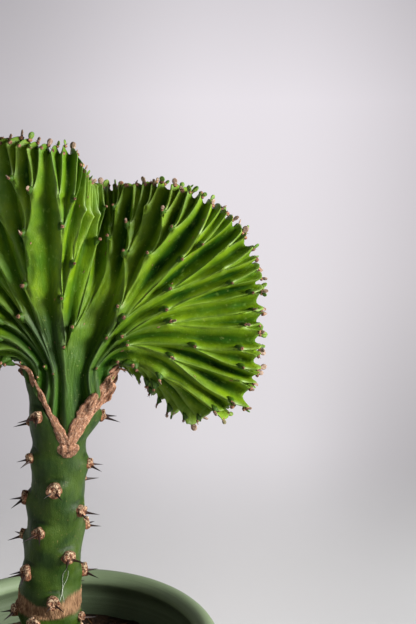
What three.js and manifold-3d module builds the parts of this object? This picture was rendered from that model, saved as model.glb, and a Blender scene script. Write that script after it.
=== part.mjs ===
// Potted coral cactus: a crested scion grafted into a V cut on a spiny rootstock, in a round pot.
// Millimetres, +Z up. The origin is the centre of the pot's underside.
// The crest's broad face looks along -Y.
import * as THREE from "three";
import { mergeVertices } from "three/addons/utils/BufferGeometryUtils.js";
import Module from "manifold-3d";

const wasm = await Module();
wasm.setup();

// Driving dimensions.
const FIT_GAP = 0.3; // between two pieces that touch
const POT = {
  height: 112, rimRadius: 62.5, rimWidth: 8.5, rimDrop: 11, baseRadius: 45, wall: 3.6, floor: 5,
  underRim: 4.2, lipDepth: 8.5, lipStep: 2.2, edge: 1.5, corner: 3, sides: 36,
};
const FOOT = { inner: 40, recess: 1.5, recessInner: 18, holes: 5, holeRadius: 3.5, holeCircle: 29 };
const SOIL = { top: 93, crown: 3, roughness: 0.9, rings: 4, sides: 30 };
const STOCK = { foot: 48, sides: 26, rowStep: 5 };
const SCAR = {
  firstAngle: -1, turn: -139.5, firstHeight: 181.9, rise: 3.57, lowest: -24, highest: 10,
  radius: 2.7, out: 1.2, sunk: 1.6, sides: 6, clearSoil: 7, clearGraft: 6,
};
const SWELL = { out: 1.7, wide: 3.5, above: 3.4, below: 6 };
const SPINE = {
  length: 6, radius: 0.6, apart: 1.1, below: 0.9, sunk: 1.1, spread: 34, droop: 12, sides: 4,
};
const GRAFT = { apex: [5.5, 199.5], rightTip: [22.6, 226.5], leftTip: [-11.5, 229], bulge: 0.9 };
const KNOB = { radius: 4.2, angle: 24, drop: 1, flat: 0.5, tall: 0.85 };
const CREST = {
  baseHalf: 10.6, laminaHalf: 7, taper: 2.8, rimHalf: 2.2, rimRound: 0.12, endRound: 0.03,
  wave: 1.3, waves: 15, sunk: 4,
};
const THROAT = { height: 231, spread: 1.5, turn: 48, at: 0.28 };
const FOLD = { from: 0.36, to: 0.48, share: 0.19 };
const RIBS = {
  roots: 8, levels: 3, depthShare: 0.46, deepest: 4.4, profile: 1.7, closest: 1.1, broad: 7.5,
};
const FORKS = [
  { first: 0.2, range: 0.14, spread: 0.34 },
  { first: 0.42, range: 0.16, spread: 0.32 },
  { first: 0.64, range: 0.18, spread: 0.24 },
];
const TOOTH = { out: 1.6, notch: 0.9 };
const LEAFLET = { length: 4.4, width: 2.1, thick: 1.1, sunk: 1.2 };

// The crest's rim from the right horn of the stock, over the top and down to the left horn.
// Each row is x, y, z and the direction of the ribs there, in degrees from +X in the front view.
const RIM = [
  [24.5, 3, 226, -62], [29, 9, 222, -70], [34, 13, 218.5, -74], [39, 13, 215.5, -78],
  [44, 10, 210, -80], [50, 4, 207.5, -68], [57, -1.5, 209, -52], [63.5, -5, 212.5, -38],
  [70, -6, 215, -26], [74.5, -5.5, 223, -14], [75.5, -2, 235, -4], [76.5, 2, 250, 6],
  [75, 3.5, 264, 20], [71, 3, 275, 35], [64.5, 1, 283.5, 49], [55.5, 0, 290.5, 63],
  [44, 3, 294, 74], [33, 9, 293.5, 82], [24, 15, 292, 87], [18.5, 14, 291.5, 88],
  [15, 7, 293, 86], [13, -2, 296, 82], [12.5, -10, 302, 78], [11, -15, 308.5, 80],
  [4, -16, 310, 86], [-8, -13, 312, 93], [-21, -7, 311.5, 99], [-35, 0, 308, 107],
  [-48, 7, 301, 118], [-60, 11, 290, 131], [-70, 10, 276, 146], [-76, 4, 261, 163],
  [-78, -3, 244, 178], [-77, -7, 228, 192], [-71, -7, 215, 211], [-62, -1, 207, 236],
  [-51, 7, 207.5, 256], [-41, 12, 216, 254], [-33, 12, 223, 252], [-25, 8, 227.5, 250],
  [-19, 4, 229.5, 246], [-13.5, 2, 231, 240],
];

// Rows of the rootstock's outline: height, centre in x, half width and half depth.
const STEM = [
  [48, -4, 5, 5], [58, -4.6, 9, 9], [75, -5, 11.4, 11.2], [94, -5, 11.4, 11.2],
  [115, -5, 11, 11], [119, -5, 12, 12], [128, -4.9, 12, 12], [132, -4.7, 10.9, 11],
  [151, -3, 10.9, 10.9], [177, -0.4, 10.3, 10.6], [189, 0.8, 10, 10.4], [198, 1.1, 10, 10.4],
  [206, 2.8, 12.8, 10.4], [214, 3.9, 13.9, 10.2], [222, 5, 16.1, 9.6], [230, 6.2, 18.3, 8.4],
  [238, 7, 20, 7.6],
];

const rad = THREE.MathUtils.degToRad;
const lerp = THREE.MathUtils.lerp;
const clamp = THREE.MathUtils.clamp;
const smooth = (low, high, x) => THREE.MathUtils.smoothstep(x, low, high);

// A repeatable number from 0 to 1 for a key.
function chance(key) {
  const x = Math.sin(key * 12.9898 + 4.1) * 43758.5453;
  return x - Math.floor(x);
}

// A smooth curve through rows of numbers, at s from 0 to 1.
function spline(rows, s) {
  const last = rows.length - 1;
  const at = clamp(s, 0, 1) * last;
  const k = Math.min(Math.floor(at), last - 1);
  const f = at - k;
  const row = (i) => (i < 0 ? rows[0].map((a, c) => 2 * a - rows[1][c])
    : i > last ? rows[last].map((a, c) => 2 * a - rows[last - 1][c]) : rows[i]);
  const [a, b, c, d] = [row(k - 1), row(k), row(k + 1), row(k + 2)];
  return b.map((_, i) => {
    const bend = 2 * a[i] - 5 * b[i] + 4 * c[i] - d[i];
    const twist = 3 * b[i] - a[i] - 3 * c[i] + d[i];
    return 0.5 * (2 * b[i] + (c[i] - a[i]) * f + bend * f * f + twist * f * f * f);
  });
}

// Solids and meshes.
function solid(geometry) {
  const bare = geometry.clone();
  bare.deleteAttribute("normal");
  bare.deleteAttribute("uv");
  const merged = mergeVertices(bare, 1e-4);
  return new wasm.Manifold(new wasm.Mesh({
    numProp: 3,
    vertProperties: merged.attributes.position.array,
    triVerts: new Uint32Array(merged.index.array),
  }));
}

const SHORTEST_EDGE = 0.02; // the joins leave shorter ones, which are taken out

// The largest body of a cut solid, without the scraps that a cut leaves.
const largest = (shape) => shape.decompose().reduce((a, b) => (b.volume() > a.volume() ? b : a));

function meshed(name, shape, material) {
  const data = largest(shape.simplify(SHORTEST_EDGE)).getMesh();
  const geometry = new THREE.BufferGeometry();
  geometry.setAttribute("position", new THREE.BufferAttribute(new Float32Array(data.vertProperties), 3));
  geometry.setIndex(new THREE.BufferAttribute(new Uint32Array(data.triVerts), 1));
  geometry.computeVertexNormals();
  const mesh = new THREE.Mesh(geometry, material);
  mesh.name = name;
  return mesh;
}

function fromTriangles(points, faces) {
  const geometry = new THREE.BufferGeometry();
  const positions = points.flatMap((p) => [p.x, p.y, p.z]);
  geometry.setAttribute("position", new THREE.Float32BufferAttribute(positions, 3));
  geometry.setIndex(faces.flat());
  return geometry;
}

// A prism along Y over an outline of [x, z] points.
function prism(outline, halfDepth) {
  const shape = new THREE.Shape(outline.map(([x, z]) => new THREE.Vector2(x, z)));
  const geometry = new THREE.ExtrudeGeometry(shape, { depth: 2 * halfDepth, bevelEnabled: false });
  return solid(geometry.rotateX(Math.PI / 2).translate(0, halfDepth, 0));
}

// A cone or stub whose axis runs along a direction, with its root sunk below its seat.
function stub(seat, along, length, rootRadius, tipRadius, sides, sunk) {
  const geometry = new THREE.CylinderGeometry(tipRadius, rootRadius, length + sunk, sides);
  geometry.translate(0, (length + sunk) / 2 - sunk, 0);
  const turn = new THREE.Quaternion();
  turn.setFromUnitVectors(new THREE.Vector3(0, 1, 0), along.clone().normalize());
  geometry.applyQuaternion(turn).translate(seat.x, seat.y, seat.z);
  return solid(geometry);
}

const fuse = (body, pieces) => pieces.reduce((whole, piece) => whole.add(piece), body);

// The pot: a turned shell with a broad rolled rim, a foot ring, a shallow recess under it and drain holes.
function potSolid() {
  const top = POT.height;
  const lip = POT.rimRadius - POT.rimWidth;
  const innerTop = lip + POT.lipStep;
  const innerFoot = POT.baseRadius - POT.wall;
  const arc = (cx, cz, r, from, to, steps) => Array.from({ length: steps + 1 }, (_, i) => {
    const a = rad(lerp(from, to, i / steps));
    return [cx + r * Math.cos(a), cz + r * Math.sin(a)];
  });
  const mid = (POT.rimRadius + lip) / 2;
  const half = POT.rimWidth / 2;
  const profile = [
    [0, 0], [FOOT.recessInner, 0], [FOOT.recessInner + 1, FOOT.recess],
    [FOOT.inner - 1, FOOT.recess], [FOOT.inner, 0],
    [POT.baseRadius - POT.edge, 0], [POT.baseRadius, POT.edge],
    [POT.rimRadius - POT.underRim, top - POT.rimDrop - POT.edge],
    [POT.rimRadius - POT.edge, top - POT.rimDrop],
    ...arc(mid, top - half, half, 0, 180, 8),
    [lip + 0.3, top - half - POT.edge], [innerTop, top - POT.lipDepth],
    [innerFoot + 1, POT.floor + POT.corner], [innerFoot + 1 - POT.corner, POT.floor], [0, POT.floor],
  ];
  const shell = solid(new THREE.LatheGeometry(profile.map(([r, z]) => new THREE.Vector2(r, z)), POT.sides)
    .rotateX(Math.PI / 2));
  const drains = Array.from({ length: FOOT.holes }, (_, i) => {
    const a = (2 * Math.PI * i) / FOOT.holes;
    const drain = new THREE.CylinderGeometry(FOOT.holeRadius, FOOT.holeRadius, 4 * POT.floor, 12);
    drain.rotateX(Math.PI / 2).translate(FOOT.holeCircle * Math.cos(a), FOOT.holeCircle * Math.sin(a), 0);
    return solid(drain);
  });
  return drains.reduce((whole, drain) => whole.subtract(drain), shell);
}

// The pot's inner radius at a height.
function potInside(z) {
  const foot = POT.baseRadius - POT.wall + 1;
  const head = POT.rimRadius - POT.rimWidth + POT.lipStep;
  const low = POT.floor + POT.corner;
  return lerp(foot, head, clamp((z - low) / (POT.height - POT.lipDepth - low), 0, 1));
}

// The potting mix: it fills the pot to a rough, slightly crowned top and leaves a plain hole for the stem.
function soilSolid() {
  const gap = FIT_GAP / Math.cos(Math.PI / SOIL.sides) + 0.1;
  const bottom = POT.floor + gap;
  const corner = POT.floor + POT.corner;
  const points = [new THREE.Vector3(0, 0, SOIL.top + SOIL.crown), new THREE.Vector3(0, 0, bottom)];
  const faces = [];
  const n = SOIL.sides;
  const levels = [];
  for (let ring = 1; ring <= SOIL.rings; ring++) {
    const share = ring / SOIL.rings;
    const reach = (potInside(SOIL.top - 1) - gap) * share;
    const height = SOIL.top + SOIL.crown * (1 - share * share);
    const rough = SOIL.roughness * (ring < SOIL.rings ? 2 : 1);
    levels.push((i) => [reach, height + rough * (chance(31 * ring + i) - 0.5)]);
  }
  levels.push(() => [potInside(corner) - gap, corner + gap]);
  levels.push(() => [potInside(corner) - gap - POT.corner - 0.5, bottom]);
  levels.forEach((level) => {
    for (let i = 0; i < n; i++) {
      const [r, z] = level(i);
      const a = (2 * Math.PI * i) / n;
      points.push(new THREE.Vector3(r * Math.cos(a), r * Math.sin(a), z));
    }
  });
  const id = (level, i) => 2 + level * n + (i % n);
  const lastLevel = levels.length - 1;
  for (let i = 0; i < n; i++) {
    faces.push([0, id(0, i), id(0, i + 1)]);
    faces.push([1, id(lastLevel, i + 1), id(lastLevel, i)]);
    for (let level = 0; level < lastLevel; level++) {
      faces.push([id(level, i), id(level + 1, i), id(level + 1, i + 1)]);
      faces.push([id(level, i), id(level + 1, i + 1), id(level, i + 1)]);
    }
  }
  return solid(fromTriangles(points, faces)).subtract(stockSolid(FIT_GAP, true));
}

// The rootstock.
const STEM_TOP = STEM[STEM.length - 1][0];

function stemRow(z) {
  const last = STEM.length - 1;
  let k = 0;
  while (k < last - 1 && STEM[k + 1][0] < z) k++;
  const low = STEM[k];
  const high = STEM[k + 1];
  const f = clamp((z - low[0]) / (high[0] - low[0]), 0, 1);
  return low.map((a, i) => lerp(a, high[i], f));
}

// The V of the graft: the height of its middle line at x.
function graftLine(x) {
  const [ax, az] = GRAFT.apex;
  const [tx, tz] = x > ax ? GRAFT.rightTip : GRAFT.leftTip;
  return az + ((tz - az) * (x - ax)) / (tx - ax);
}

// Leaf scars climb the stem in one spiral. Those that the graft cut away are left out.
function leafScars() {
  const scars = [];
  for (let k = SCAR.lowest; k <= SCAR.highest; k++) {
    const angle = rad(SCAR.firstAngle + SCAR.turn * k);
    const z = SCAR.firstHeight + SCAR.rise * k;
    const [, cx, halfWide] = stemRow(z);
    const x = cx + halfWide * Math.sin(angle);
    if (z < SOIL.top + SCAR.clearSoil || z > graftLine(x) - SCAR.clearGraft) continue;
    scars.push({ angle, z, key: k - SCAR.lowest + 16 });
  }
  return scars;
}

const SCARS = leafScars();

// The stem's surface at an angle from the front, with a swelling under each scar.
function stemPoint(angle, z, grow, bumpy) {
  const [, cx, halfWide, halfDeep] = stemRow(z);
  let swell = 0;
  for (const scar of SCARS) {
    const across = Math.atan2(Math.sin(angle - scar.angle), Math.cos(angle - scar.angle)) * halfWide;
    const up = z - scar.z;
    const reach = up > 0 ? SWELL.above : SWELL.below;
    const near = Math.exp(-((across / SWELL.wide) ** 2) / 2 - (up / reach) ** 2);
    swell = Math.max(swell, SWELL.out * near);
  }
  const out = grow + (bumpy ? swell : 0);
  return new THREE.Vector3(cx + (halfWide + out) * Math.sin(angle), -(halfDeep + out) * Math.cos(angle), z);
}

function stockSolid(grow, bumpy) {
  const rows = Math.round((STEM_TOP - STOCK.foot) / STOCK.rowStep);
  const points = [];
  const faces = [];
  const n = STOCK.sides;
  for (let row = 0; row <= rows; row++) {
    const z = lerp(STOCK.foot, STEM_TOP, row / rows);
    for (let i = 0; i < n; i++) points.push(stemPoint((2 * Math.PI * i) / n, z, grow, bumpy));
  }
  if (grow) points.slice(0, n).forEach((p) => { p.z -= grow; });
  const id = (row, i) => row * n + (i % n);
  for (let i = 0; i < n; i++) {
    for (let row = 0; row < rows; row++) {
      faces.push([id(row, i), id(row, i + 1), id(row + 1, i + 1)]);
      faces.push([id(row, i), id(row + 1, i + 1), id(row + 1, i)]);
    }
    if (i > 1) {
      faces.push([id(0, 0), id(0, i), id(0, i - 1)]);
      faces.push([id(rows, 0), id(rows, i - 1), id(rows, i)]);
    }
  }
  return solid(fromTriangles(points, faces));
}

// One leaf scar: a corky pad with two thorns that spread sideways.
function scarPieces(scar) {
  const outward = new THREE.Vector3(Math.sin(scar.angle), -Math.cos(scar.angle), 0.12);
  const sideways = new THREE.Vector3(Math.cos(scar.angle), Math.sin(scar.angle), 0);
  const seat = stemPoint(scar.angle, scar.z, 0, true);
  const [root, face] = [SCAR.radius + 0.4, SCAR.radius - 0.3];
  const pieces = [stub(seat, outward, SCAR.out, root, face, SCAR.sides, SCAR.sunk)];
  for (const side of [-1, 1]) {
    const length = SPINE.length * (0.75 + 0.4 * chance(scar.key * 2 + side));
    const yaw = rad(SPINE.spread * (0.7 + 0.5 * chance(scar.key * 5 + side)));
    const along = outward.clone().setZ(0).multiplyScalar(Math.cos(yaw));
    along.addScaledVector(sideways, side * Math.sin(yaw));
    along.z = -Math.tan(rad(SPINE.droop * (0.4 + 1.2 * chance(scar.key * 7 + side))));
    const place = seat.clone().addScaledVector(sideways, side * SPINE.apart);
    place.addScaledVector(outward, SCAR.out - 0.3);
    place.z -= SPINE.below;
    pieces.push(stub(place, along, length, SPINE.radius, 0, SPINE.sides, SPINE.sunk));
  }
  return pieces;
}

// An outline of [x, z] points, moved out by a distance along its own edges.
function grownOutline(outline, distance) {
  const unit = (a, b) => new THREE.Vector2(b[0] - a[0], b[1] - a[1]).normalize();
  return outline.map((p, i) => {
    const before = unit(outline[(i + outline.length - 1) % outline.length], p);
    const after = unit(p, outline[(i + 1) % outline.length]);
    const sum = before.clone().add(after);
    const reach = distance / (1 + before.dot(after));
    return [p[0] + reach * sum.y, p[1] - reach * sum.x];
  });
}

// The gap of the graft: a V-shaped band, thin on the left arm, that runs through from front to back.
function graftBand(grow) {
  const [ax, az] = GRAFT.apex;
  const [rx, rz] = GRAFT.rightTip;
  const [lx, lz] = GRAFT.leftTip;
  const outline = [
    [lx - 1, lz - 0.5], [lx + 7.4, lz - 13.4], [ax - 2, az - 1.4], [ax, az - 3.4],
    [ax + 2.2, az - 1.2], [rx - 4.6, rz - 12], [rx + 2, rz - 1.2], [rx + 1, rz + 1.6],
    [rx - 1, rz + 0.6], [ax + 0.3, az + 3.4], [lx + 0.8, lz + 0.8], [lx - 0.8, lz + 1],
  ];
  return prism(grownOutline(outline, grow), 30);
}

// A round knob of cork at the foot of the V, on the front.
function graftKnob(grow) {
  const knob = new THREE.SphereGeometry(KNOB.radius + grow, 10, 7).scale(1, KNOB.flat, KNOB.tall);
  const seat = stemPoint(rad(KNOB.angle), GRAFT.apex[1] - KNOB.drop, 0, false);
  return solid(knob.translate(seat.x, seat.y, seat.z));
}

// The callus: cork that fills the graft and stands a little out of it.
function callusSolid() {
  return graftBand(0).intersect(stockSolid(GRAFT.bulge, false)).add(graftKnob(0));
}

// The space above the V, as a prism that cuts the rootstock.
function aboveGraft() {
  const [ax, az] = GRAFT.apex;
  const [rx, rz] = GRAFT.rightTip;
  const [lx, lz] = GRAFT.leftTip;
  const top = rz + 60;
  const [right, left] = [2 * rx - ax, 2 * lx - ax];
  return prism([[ax, az], [right, 2 * rz - az], [right, top], [left, top], [left, 2 * lz - az]], 40);
}

// The space below the V and between the horns, as a prism that cuts the crest.
function belowGraft() {
  const [ax, az] = GRAFT.apex;
  const [rx, rz] = GRAFT.rightTip;
  const [lx, lz] = GRAFT.leftTip;
  const bottom = az - 60;
  const [right, left] = [rx + 3, lx - 3];
  return prism([
    [ax, az], [lx, lz], [left, lz - 3], [left, bottom], [right, bottom], [right, rz - 3], [rx, rz],
  ], 40);
}

function rootstock() {
  const pieces = SCARS.flatMap(scarPieces);
  const grown = fuse(stockSolid(0, true), pieces);
  return grown.subtract(aboveGraft()).subtract(graftBand(FIT_GAP)).subtract(graftKnob(FIT_GAP));
}

// The crest. Its middle surface is swept by ribs that leave the V and bend out to the rim.
const RIM_STEPS = 600;
const rimLengths = [0];
for (let i = 1; i <= RIM_STEPS; i++) {
  const [a, b] = [spline(RIM, (i - 1) / RIM_STEPS), spline(RIM, i / RIM_STEPS)];
  rimLengths.push(rimLengths[i - 1] + Math.hypot(b[0] - a[0], b[1] - a[1], b[2] - a[2]));
}

// The rim at a share u of its length.
function rimAt(u) {
  const want = clamp(u, 0, 1) * rimLengths[RIM_STEPS];
  let low = 0;
  let high = RIM_STEPS;
  while (high - low > 1) {
    const half = (low + high) >> 1;
    if (rimLengths[half] < want) low = half;
    else high = half;
  }
  const f = (want - rimLengths[low]) / (rimLengths[high] - rimLengths[low]);
  const [x, y, z, lean] = spline(RIM, (low + f) / RIM_STEPS);
  return { point: new THREE.Vector3(x, y, z), lean: rad(lean) };
}

// Where along the V a rib stands, from -1 at the right horn to 1 at the left one. The fold takes few ribs.
function footShare(u) {
  return -1 + 2 * lerp(u, smooth(FOLD.from, FOLD.to, u), FOLD.share);
}

function bezier(a, b, c, d, t) {
  const s = 1 - t;
  return a.clone().multiplyScalar(s * s * s).addScaledVector(b, 3 * s * s * t)
    .addScaledVector(c, 3 * s * t * t).addScaledVector(d, t * t * t);
}

// A rib climbs from the V to the throat, turns there and runs out to the rim.
function middle(u, t) {
  const v = footShare(u);
  const share = Math.abs(v);
  const tip = v < 0 ? GRAFT.rightTip : GRAFT.leftTip;
  const x = lerp(GRAFT.apex[0], tip[0], share);
  const foot = new THREE.Vector3(x, 0, lerp(GRAFT.apex[1], tip[1], share) - CREST.sunk);
  const throatHeight = lerp(THROAT.height, tip[1] + 1.5, share ** 4);
  const throat = new THREE.Vector3(x - THROAT.spread * v * share, 0, throatHeight);
  const turn = rad(THROAT.turn * Math.sign(v) * share ** 0.8);
  const climbing = (angle) => new THREE.Vector3(-Math.sin(angle), 0, Math.cos(angle));
  const rim = rimAt(u);
  const far = rim.point.distanceTo(throat);
  let point;
  if (t < THROAT.at) {
    const climb = foot.distanceTo(throat) / 3;
    const low = foot.clone().addScaledVector(climbing(0.3 * turn), climb);
    const high = throat.clone().addScaledVector(climbing(turn), -climb);
    point = bezier(foot, low, high, throat, t / THROAT.at);
  } else {
    const near = throat.clone().addScaledVector(climbing(turn), 0.36 * far);
    const lean = new THREE.Vector3(Math.cos(rim.lean), 0, Math.sin(rim.lean));
    const last = rim.point.clone().addScaledVector(lean, -0.34 * far);
    last.y = 0.55 * rim.point.y;
    point = bezier(throat, near, last, rim.point, (t - THROAT.at) / (1 - THROAT.at));
  }
  point.y += CREST.wave * Math.sin(2 * Math.PI * CREST.waves * u) * t * t;
  return point;
}

// The direction in which the crest has its thickness: its own normal, evened out along the rim.
const FIELD = { across: 150, along: 12, evenAtFoot: 0.05, evenAtRim: 0.01 };
const field = [];
for (let j = 0; j <= FIELD.along; j++) {
  const t = j / FIELD.along;
  const raw = [];
  for (let i = 0; i <= FIELD.across; i++) {
    const u = i / FIELD.across;
    const h = 0.004;
    const du = middle(Math.min(u + h, 1), t).sub(middle(Math.max(u - h, 0), t));
    const dt = middle(u, Math.min(t + h, 1)).sub(middle(u, Math.max(t - h, 0)));
    raw.push(dt.cross(du).normalize());
  }
  const spread = lerp(FIELD.evenAtFoot, FIELD.evenAtRim, t) * FIELD.across;
  field.push(raw.map((_, i) => {
    const sum = new THREE.Vector3();
    for (let k = -Math.ceil(3 * spread); k <= Math.ceil(3 * spread); k++) {
      const near = raw[clamp(i + k, 0, FIELD.across)];
      sum.addScaledVector(near, Math.exp(-(k * k) / (2 * spread * spread)));
    }
    return sum.normalize();
  }));
}

function facing(u, t) {
  const x = clamp(u, 0, 1) * FIELD.across;
  const y = clamp(t, 0, 1) * FIELD.along;
  const i = Math.min(Math.floor(x), FIELD.across - 1);
  const j = Math.min(Math.floor(y), FIELD.along - 1);
  const side = (row) => field[row][i].clone().lerp(field[row][i + 1], x - i);
  return side(j).lerp(side(j + 1), y - j).normalize();
}

// Ribs fork on their way to the rim. A face's tree is fixed by its seed.
const RIB_COUNT = RIBS.roots * 2 ** RIBS.levels;

function ribTree(seed) {
  const uneven = (i) => 0.4 * (chance(seed + i) - 0.5);
  const ends = Array.from({ length: RIB_COUNT }, (_, i) => (i + 0.5 + uneven(i)) / RIB_COUNT);
  const groups = [];
  for (let level = 0; level <= RIBS.levels; level++) {
    const size = 2 ** (RIBS.levels - level);
    groups.push(Array.from({ length: RIB_COUNT / size }, (_, g) => {
      const part = ends.slice(g * size, (g + 1) * size);
      return part.reduce((a, b) => a + b) / size;
    }));
  }
  const forkAt = (level, parent) => {
    const fork = FORKS[level - 1];
    return fork.first + fork.range * chance(seed + 100 * level + parent);
  };
  const lineAt = (i, t) => {
    let at = groups[0][i >> RIBS.levels];
    for (let level = 1; level <= RIBS.levels; level++) {
      const child = i >> (RIBS.levels - level);
      const open = clamp((t - forkAt(level, child >> 1)) / FORKS[level - 1].spread, 0, 1);
      at += (groups[level][child] - groups[level - 1][child >> 1]) * (1 - (1 - open) ** 2);
    }
    return at;
  };
  return { forkAt, lineAt };
}

const FACES = [{ tree: ribTree(7), side: 1 }, { tree: ribTree(531), side: -1 }];

function halfThickness(u, t) {
  const v = footShare(u);
  const base = CREST.baseHalf * Math.sqrt(1 - 0.82 * v * v);
  const lamina = (CREST.laminaHalf - CREST.taper * t) * (1 - 0.5 * Math.abs(v) ** 5);
  const nearRim = Math.max(0, (t - 1 + CREST.rimRound) / CREST.rimRound);
  const end = Math.min(u, 1 - u) / CREST.endRound;
  const ends = end < 1 ? Math.max(0.3, Math.sqrt(1 - (1 - end) ** 2)) : 1;
  return lerp(lerp(base, lamina, smooth(0, 0.45, t)), CREST.rimHalf, nearRim * nearRim) * ends;
}

// A point of a face, sunk by the depth of a valley and moved along its rib by the height of a tooth.
function facePoint(face, u, t, valley, tooth = 0) {
  const half = halfThickness(u, t);
  const out = half - Math.min(valley, 0.6 * half);
  return middle(u, t).addScaledVector(facing(u, t), face.side * out).addScaledVector(outward(u, t), tooth);
}

// One row of a face: its ribs, and the valleys between them, from u 0 to 1.
function faceRow(face, t) {
  const lines = [];
  for (let i = 0; i < RIB_COUNT; i++) {
    const u = face.tree.lineAt(i, t);
    const p = middle(u, t);
    if (!lines.length || p.distanceTo(lines[lines.length - 1].p) > RIBS.closest) lines.push({ u, p });
  }
  const atRim = t === 1 ? 1 : 0;
  const row = [{ u: 0, valley: 0, tooth: 0 }];
  lines.forEach((line, i) => {
    row.push({ u: line.u, valley: 0, tooth: TOOTH.out * atRim });
    const next = lines[i + 1];
    if (!next) return;
    const gap = line.p.distanceTo(next.p);
    const depth = Math.min(RIBS.depthShare * gap, RIBS.deepest);
    const cuts = gap > RIBS.broad ? [0.25, 0.5, 0.75] : [0.5];
    cuts.forEach((f) => row.push({
      u: lerp(line.u, next.u, f),
      valley: depth * (1 - Math.abs(2 * f - 1) ** RIBS.profile),
      tooth: -TOOTH.notch * atRim,
    }));
  });
  row.push({ u: 1, valley: 0, tooth: 0 });
  return row.map((spot) => ({ u: spot.u, point: facePoint(face, spot.u, t, spot.valley, spot.tooth) }));
}

const ROWS = [0, 0.08, 0.17, 0.26, 0.35, 0.44, 0.53, 0.62, 0.71, 0.8, 0.88, 0.95, 1];

function crestBody() {
  const points = [];
  const faces = [];
  const store = (row) => row.map((spot) => ({ u: spot.u, id: points.push(spot.point) - 1 }));
  const stitch = (a, b, flip) => {
    let i = 0;
    let j = 0;
    while (i < a.length - 1 || j < b.length - 1) {
      const alongA = j === b.length - 1
        || (i < a.length - 1 && a[i + 1].u + a[i].u <= b[j + 1].u + b[j].u);
      const face = alongA ? [a[i].id, a[i + 1].id, b[j].id] : [a[i].id, b[j + 1].id, b[j].id];
      faces.push(flip ? face.reverse() : face);
      if (alongA) i++;
      else j++;
    }
  };
  const [front, back] = FACES.map((face) => ROWS.map((t) => store(faceRow(face, t))));
  [...front.keys()].slice(1).forEach((k) => {
    stitch(front[k - 1], front[k], true);
    stitch(back[k - 1], back[k], false);
  });
  const lastRow = front.length - 1;
  stitch(front[lastRow], back[lastRow], true);
  stitch(front[0], back[0], false);
  const closeEnd = (pick, flip) => {
    for (let k = 1; k <= lastRow; k++) {
      const quad = [pick(front[k - 1]), pick(back[k - 1]), pick(back[k]), pick(front[k])];
      if (flip) quad.reverse();
      faces.push([quad[0], quad[1], quad[2]], [quad[0], quad[2], quad[3]]);
    }
  };
  closeEnd((row) => row[0].id, false);
  closeEnd((row) => row[row.length - 1].id, true);
  return solid(fromTriangles(points, faces));
}

// The way a rib runs at a spot of the middle surface.
function outward(u, t) {
  return middle(u, Math.min(t + 0.01, 1)).sub(middle(u, Math.min(t, 0.999) - 0.01)).normalize();
}

// A tubercle: a low thorn of flesh on a rib, long towards the base and steep towards the rim.
// Its points are its tail, right side, steep end, left side and tip, as [along, across, up].
const TUBERCLE = [[-4.2, 0, -1.2], [-0.4, 1.15, -1.4], [1.7, 0, -1.4], [-0.4, -1.15, -1.4], [1, 0, 2.1]];

function tubercle(face, u, t, size) {
  const seat = facePoint(face, u, t, 0);
  const up = facing(u, t).multiplyScalar(face.side);
  const along = outward(u, t);
  const across = new THREE.Vector3().crossVectors(up, along).normalize();
  const at = ([a, b, c]) => seat.clone().addScaledVector(along, a * size)
    .addScaledVector(across, b * size).addScaledVector(up, c * size);
  const faces = [[4, 1, 0], [4, 2, 1], [4, 3, 2], [4, 0, 3], [1, 2, 0], [2, 3, 0]];
  return solid(fromTriangles(TUBERCLE.map(at), faces));
}

// A leaflet: a small thick blade that stands on a tooth of the rim.
function leaflet(face, u, key) {
  const along = outward(u, 1);
  const up = facing(u, 1).multiplyScalar(face.side);
  const across = new THREE.Vector3().crossVectors(up, along).normalize();
  const seat = middle(u, 1).addScaledVector(along, TOOTH.out - 0.3);
  seat.addScaledVector(up, CREST.rimHalf - 0.8);
  along.addScaledVector(across, 0.7 * (chance(key) - 0.5));
  along.addScaledVector(up, 0.9 * chance(key + 0.5) - 0.2).normalize();
  const long = LEAFLET.length * (0.7 + 0.5 * chance(key + 0.25));
  const blade = new THREE.OctahedronGeometry(1).scale(LEAFLET.width / 2, LEAFLET.thick / 2, long / 2);
  blade.rotateZ(Math.PI * chance(key + 0.75)).translate(0, 0, long / 2 - LEAFLET.sunk);
  const turn = new THREE.Quaternion().setFromUnitVectors(new THREE.Vector3(0, 0, 1), along);
  return solid(blade.applyQuaternion(turn).translate(seat.x, seat.y, seat.z));
}

function crest() {
  const pieces = [];
  FACES.forEach((face, f) => {
    for (let level = 1; level <= RIBS.levels; level++) {
      const parents = RIBS.roots * 2 ** (level - 1);
      for (let parent = 0; parent < parents; parent++) {
        const i = parent * 2 ** (RIBS.levels - level + 1);
        const t = face.tree.forkAt(level, parent);
        const u = face.tree.lineAt(i, t);
        const size = 0.85 + 0.3 * chance(i + 900 * f);
        if (Math.min(u, 1 - u) > 0.04) pieces.push(tubercle(face, u, t, size));
      }
    }
  });
  for (let i = 1; i < RIB_COUNT - 1; i++) {
    const face = FACES[i % 2];
    pieces.push(leaflet(face, face.tree.lineAt(i, 1), 3.7 * i));
  }
  return fuse(crestBody(), pieces).subtract(belowGraft()).subtract(graftBand(FIT_GAP));
}

const paint = (color, roughness) => new THREE.MeshStandardMaterial({ color, roughness, metalness: 0 });

const cactus = new THREE.Group();
cactus.add(
  meshed("pot", potSolid(), paint(0x6e8662, 0.6)),
  meshed("soil", soilSolid(), paint(0x3d291a, 0.95)),
  meshed("rootstock", rootstock(), paint(0x2f5a2c, 0.45)),
  meshed("graft_callus", callusSolid(), paint(0xa9785a, 0.8)),
  meshed("crest", crest(), paint(0x4c8a22, 0.4)),
);

export default cactus;
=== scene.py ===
"""Potted coral cactus: a crested scion on a spiny rootstock, in a round matte pot."""
import itertools
import math

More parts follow.
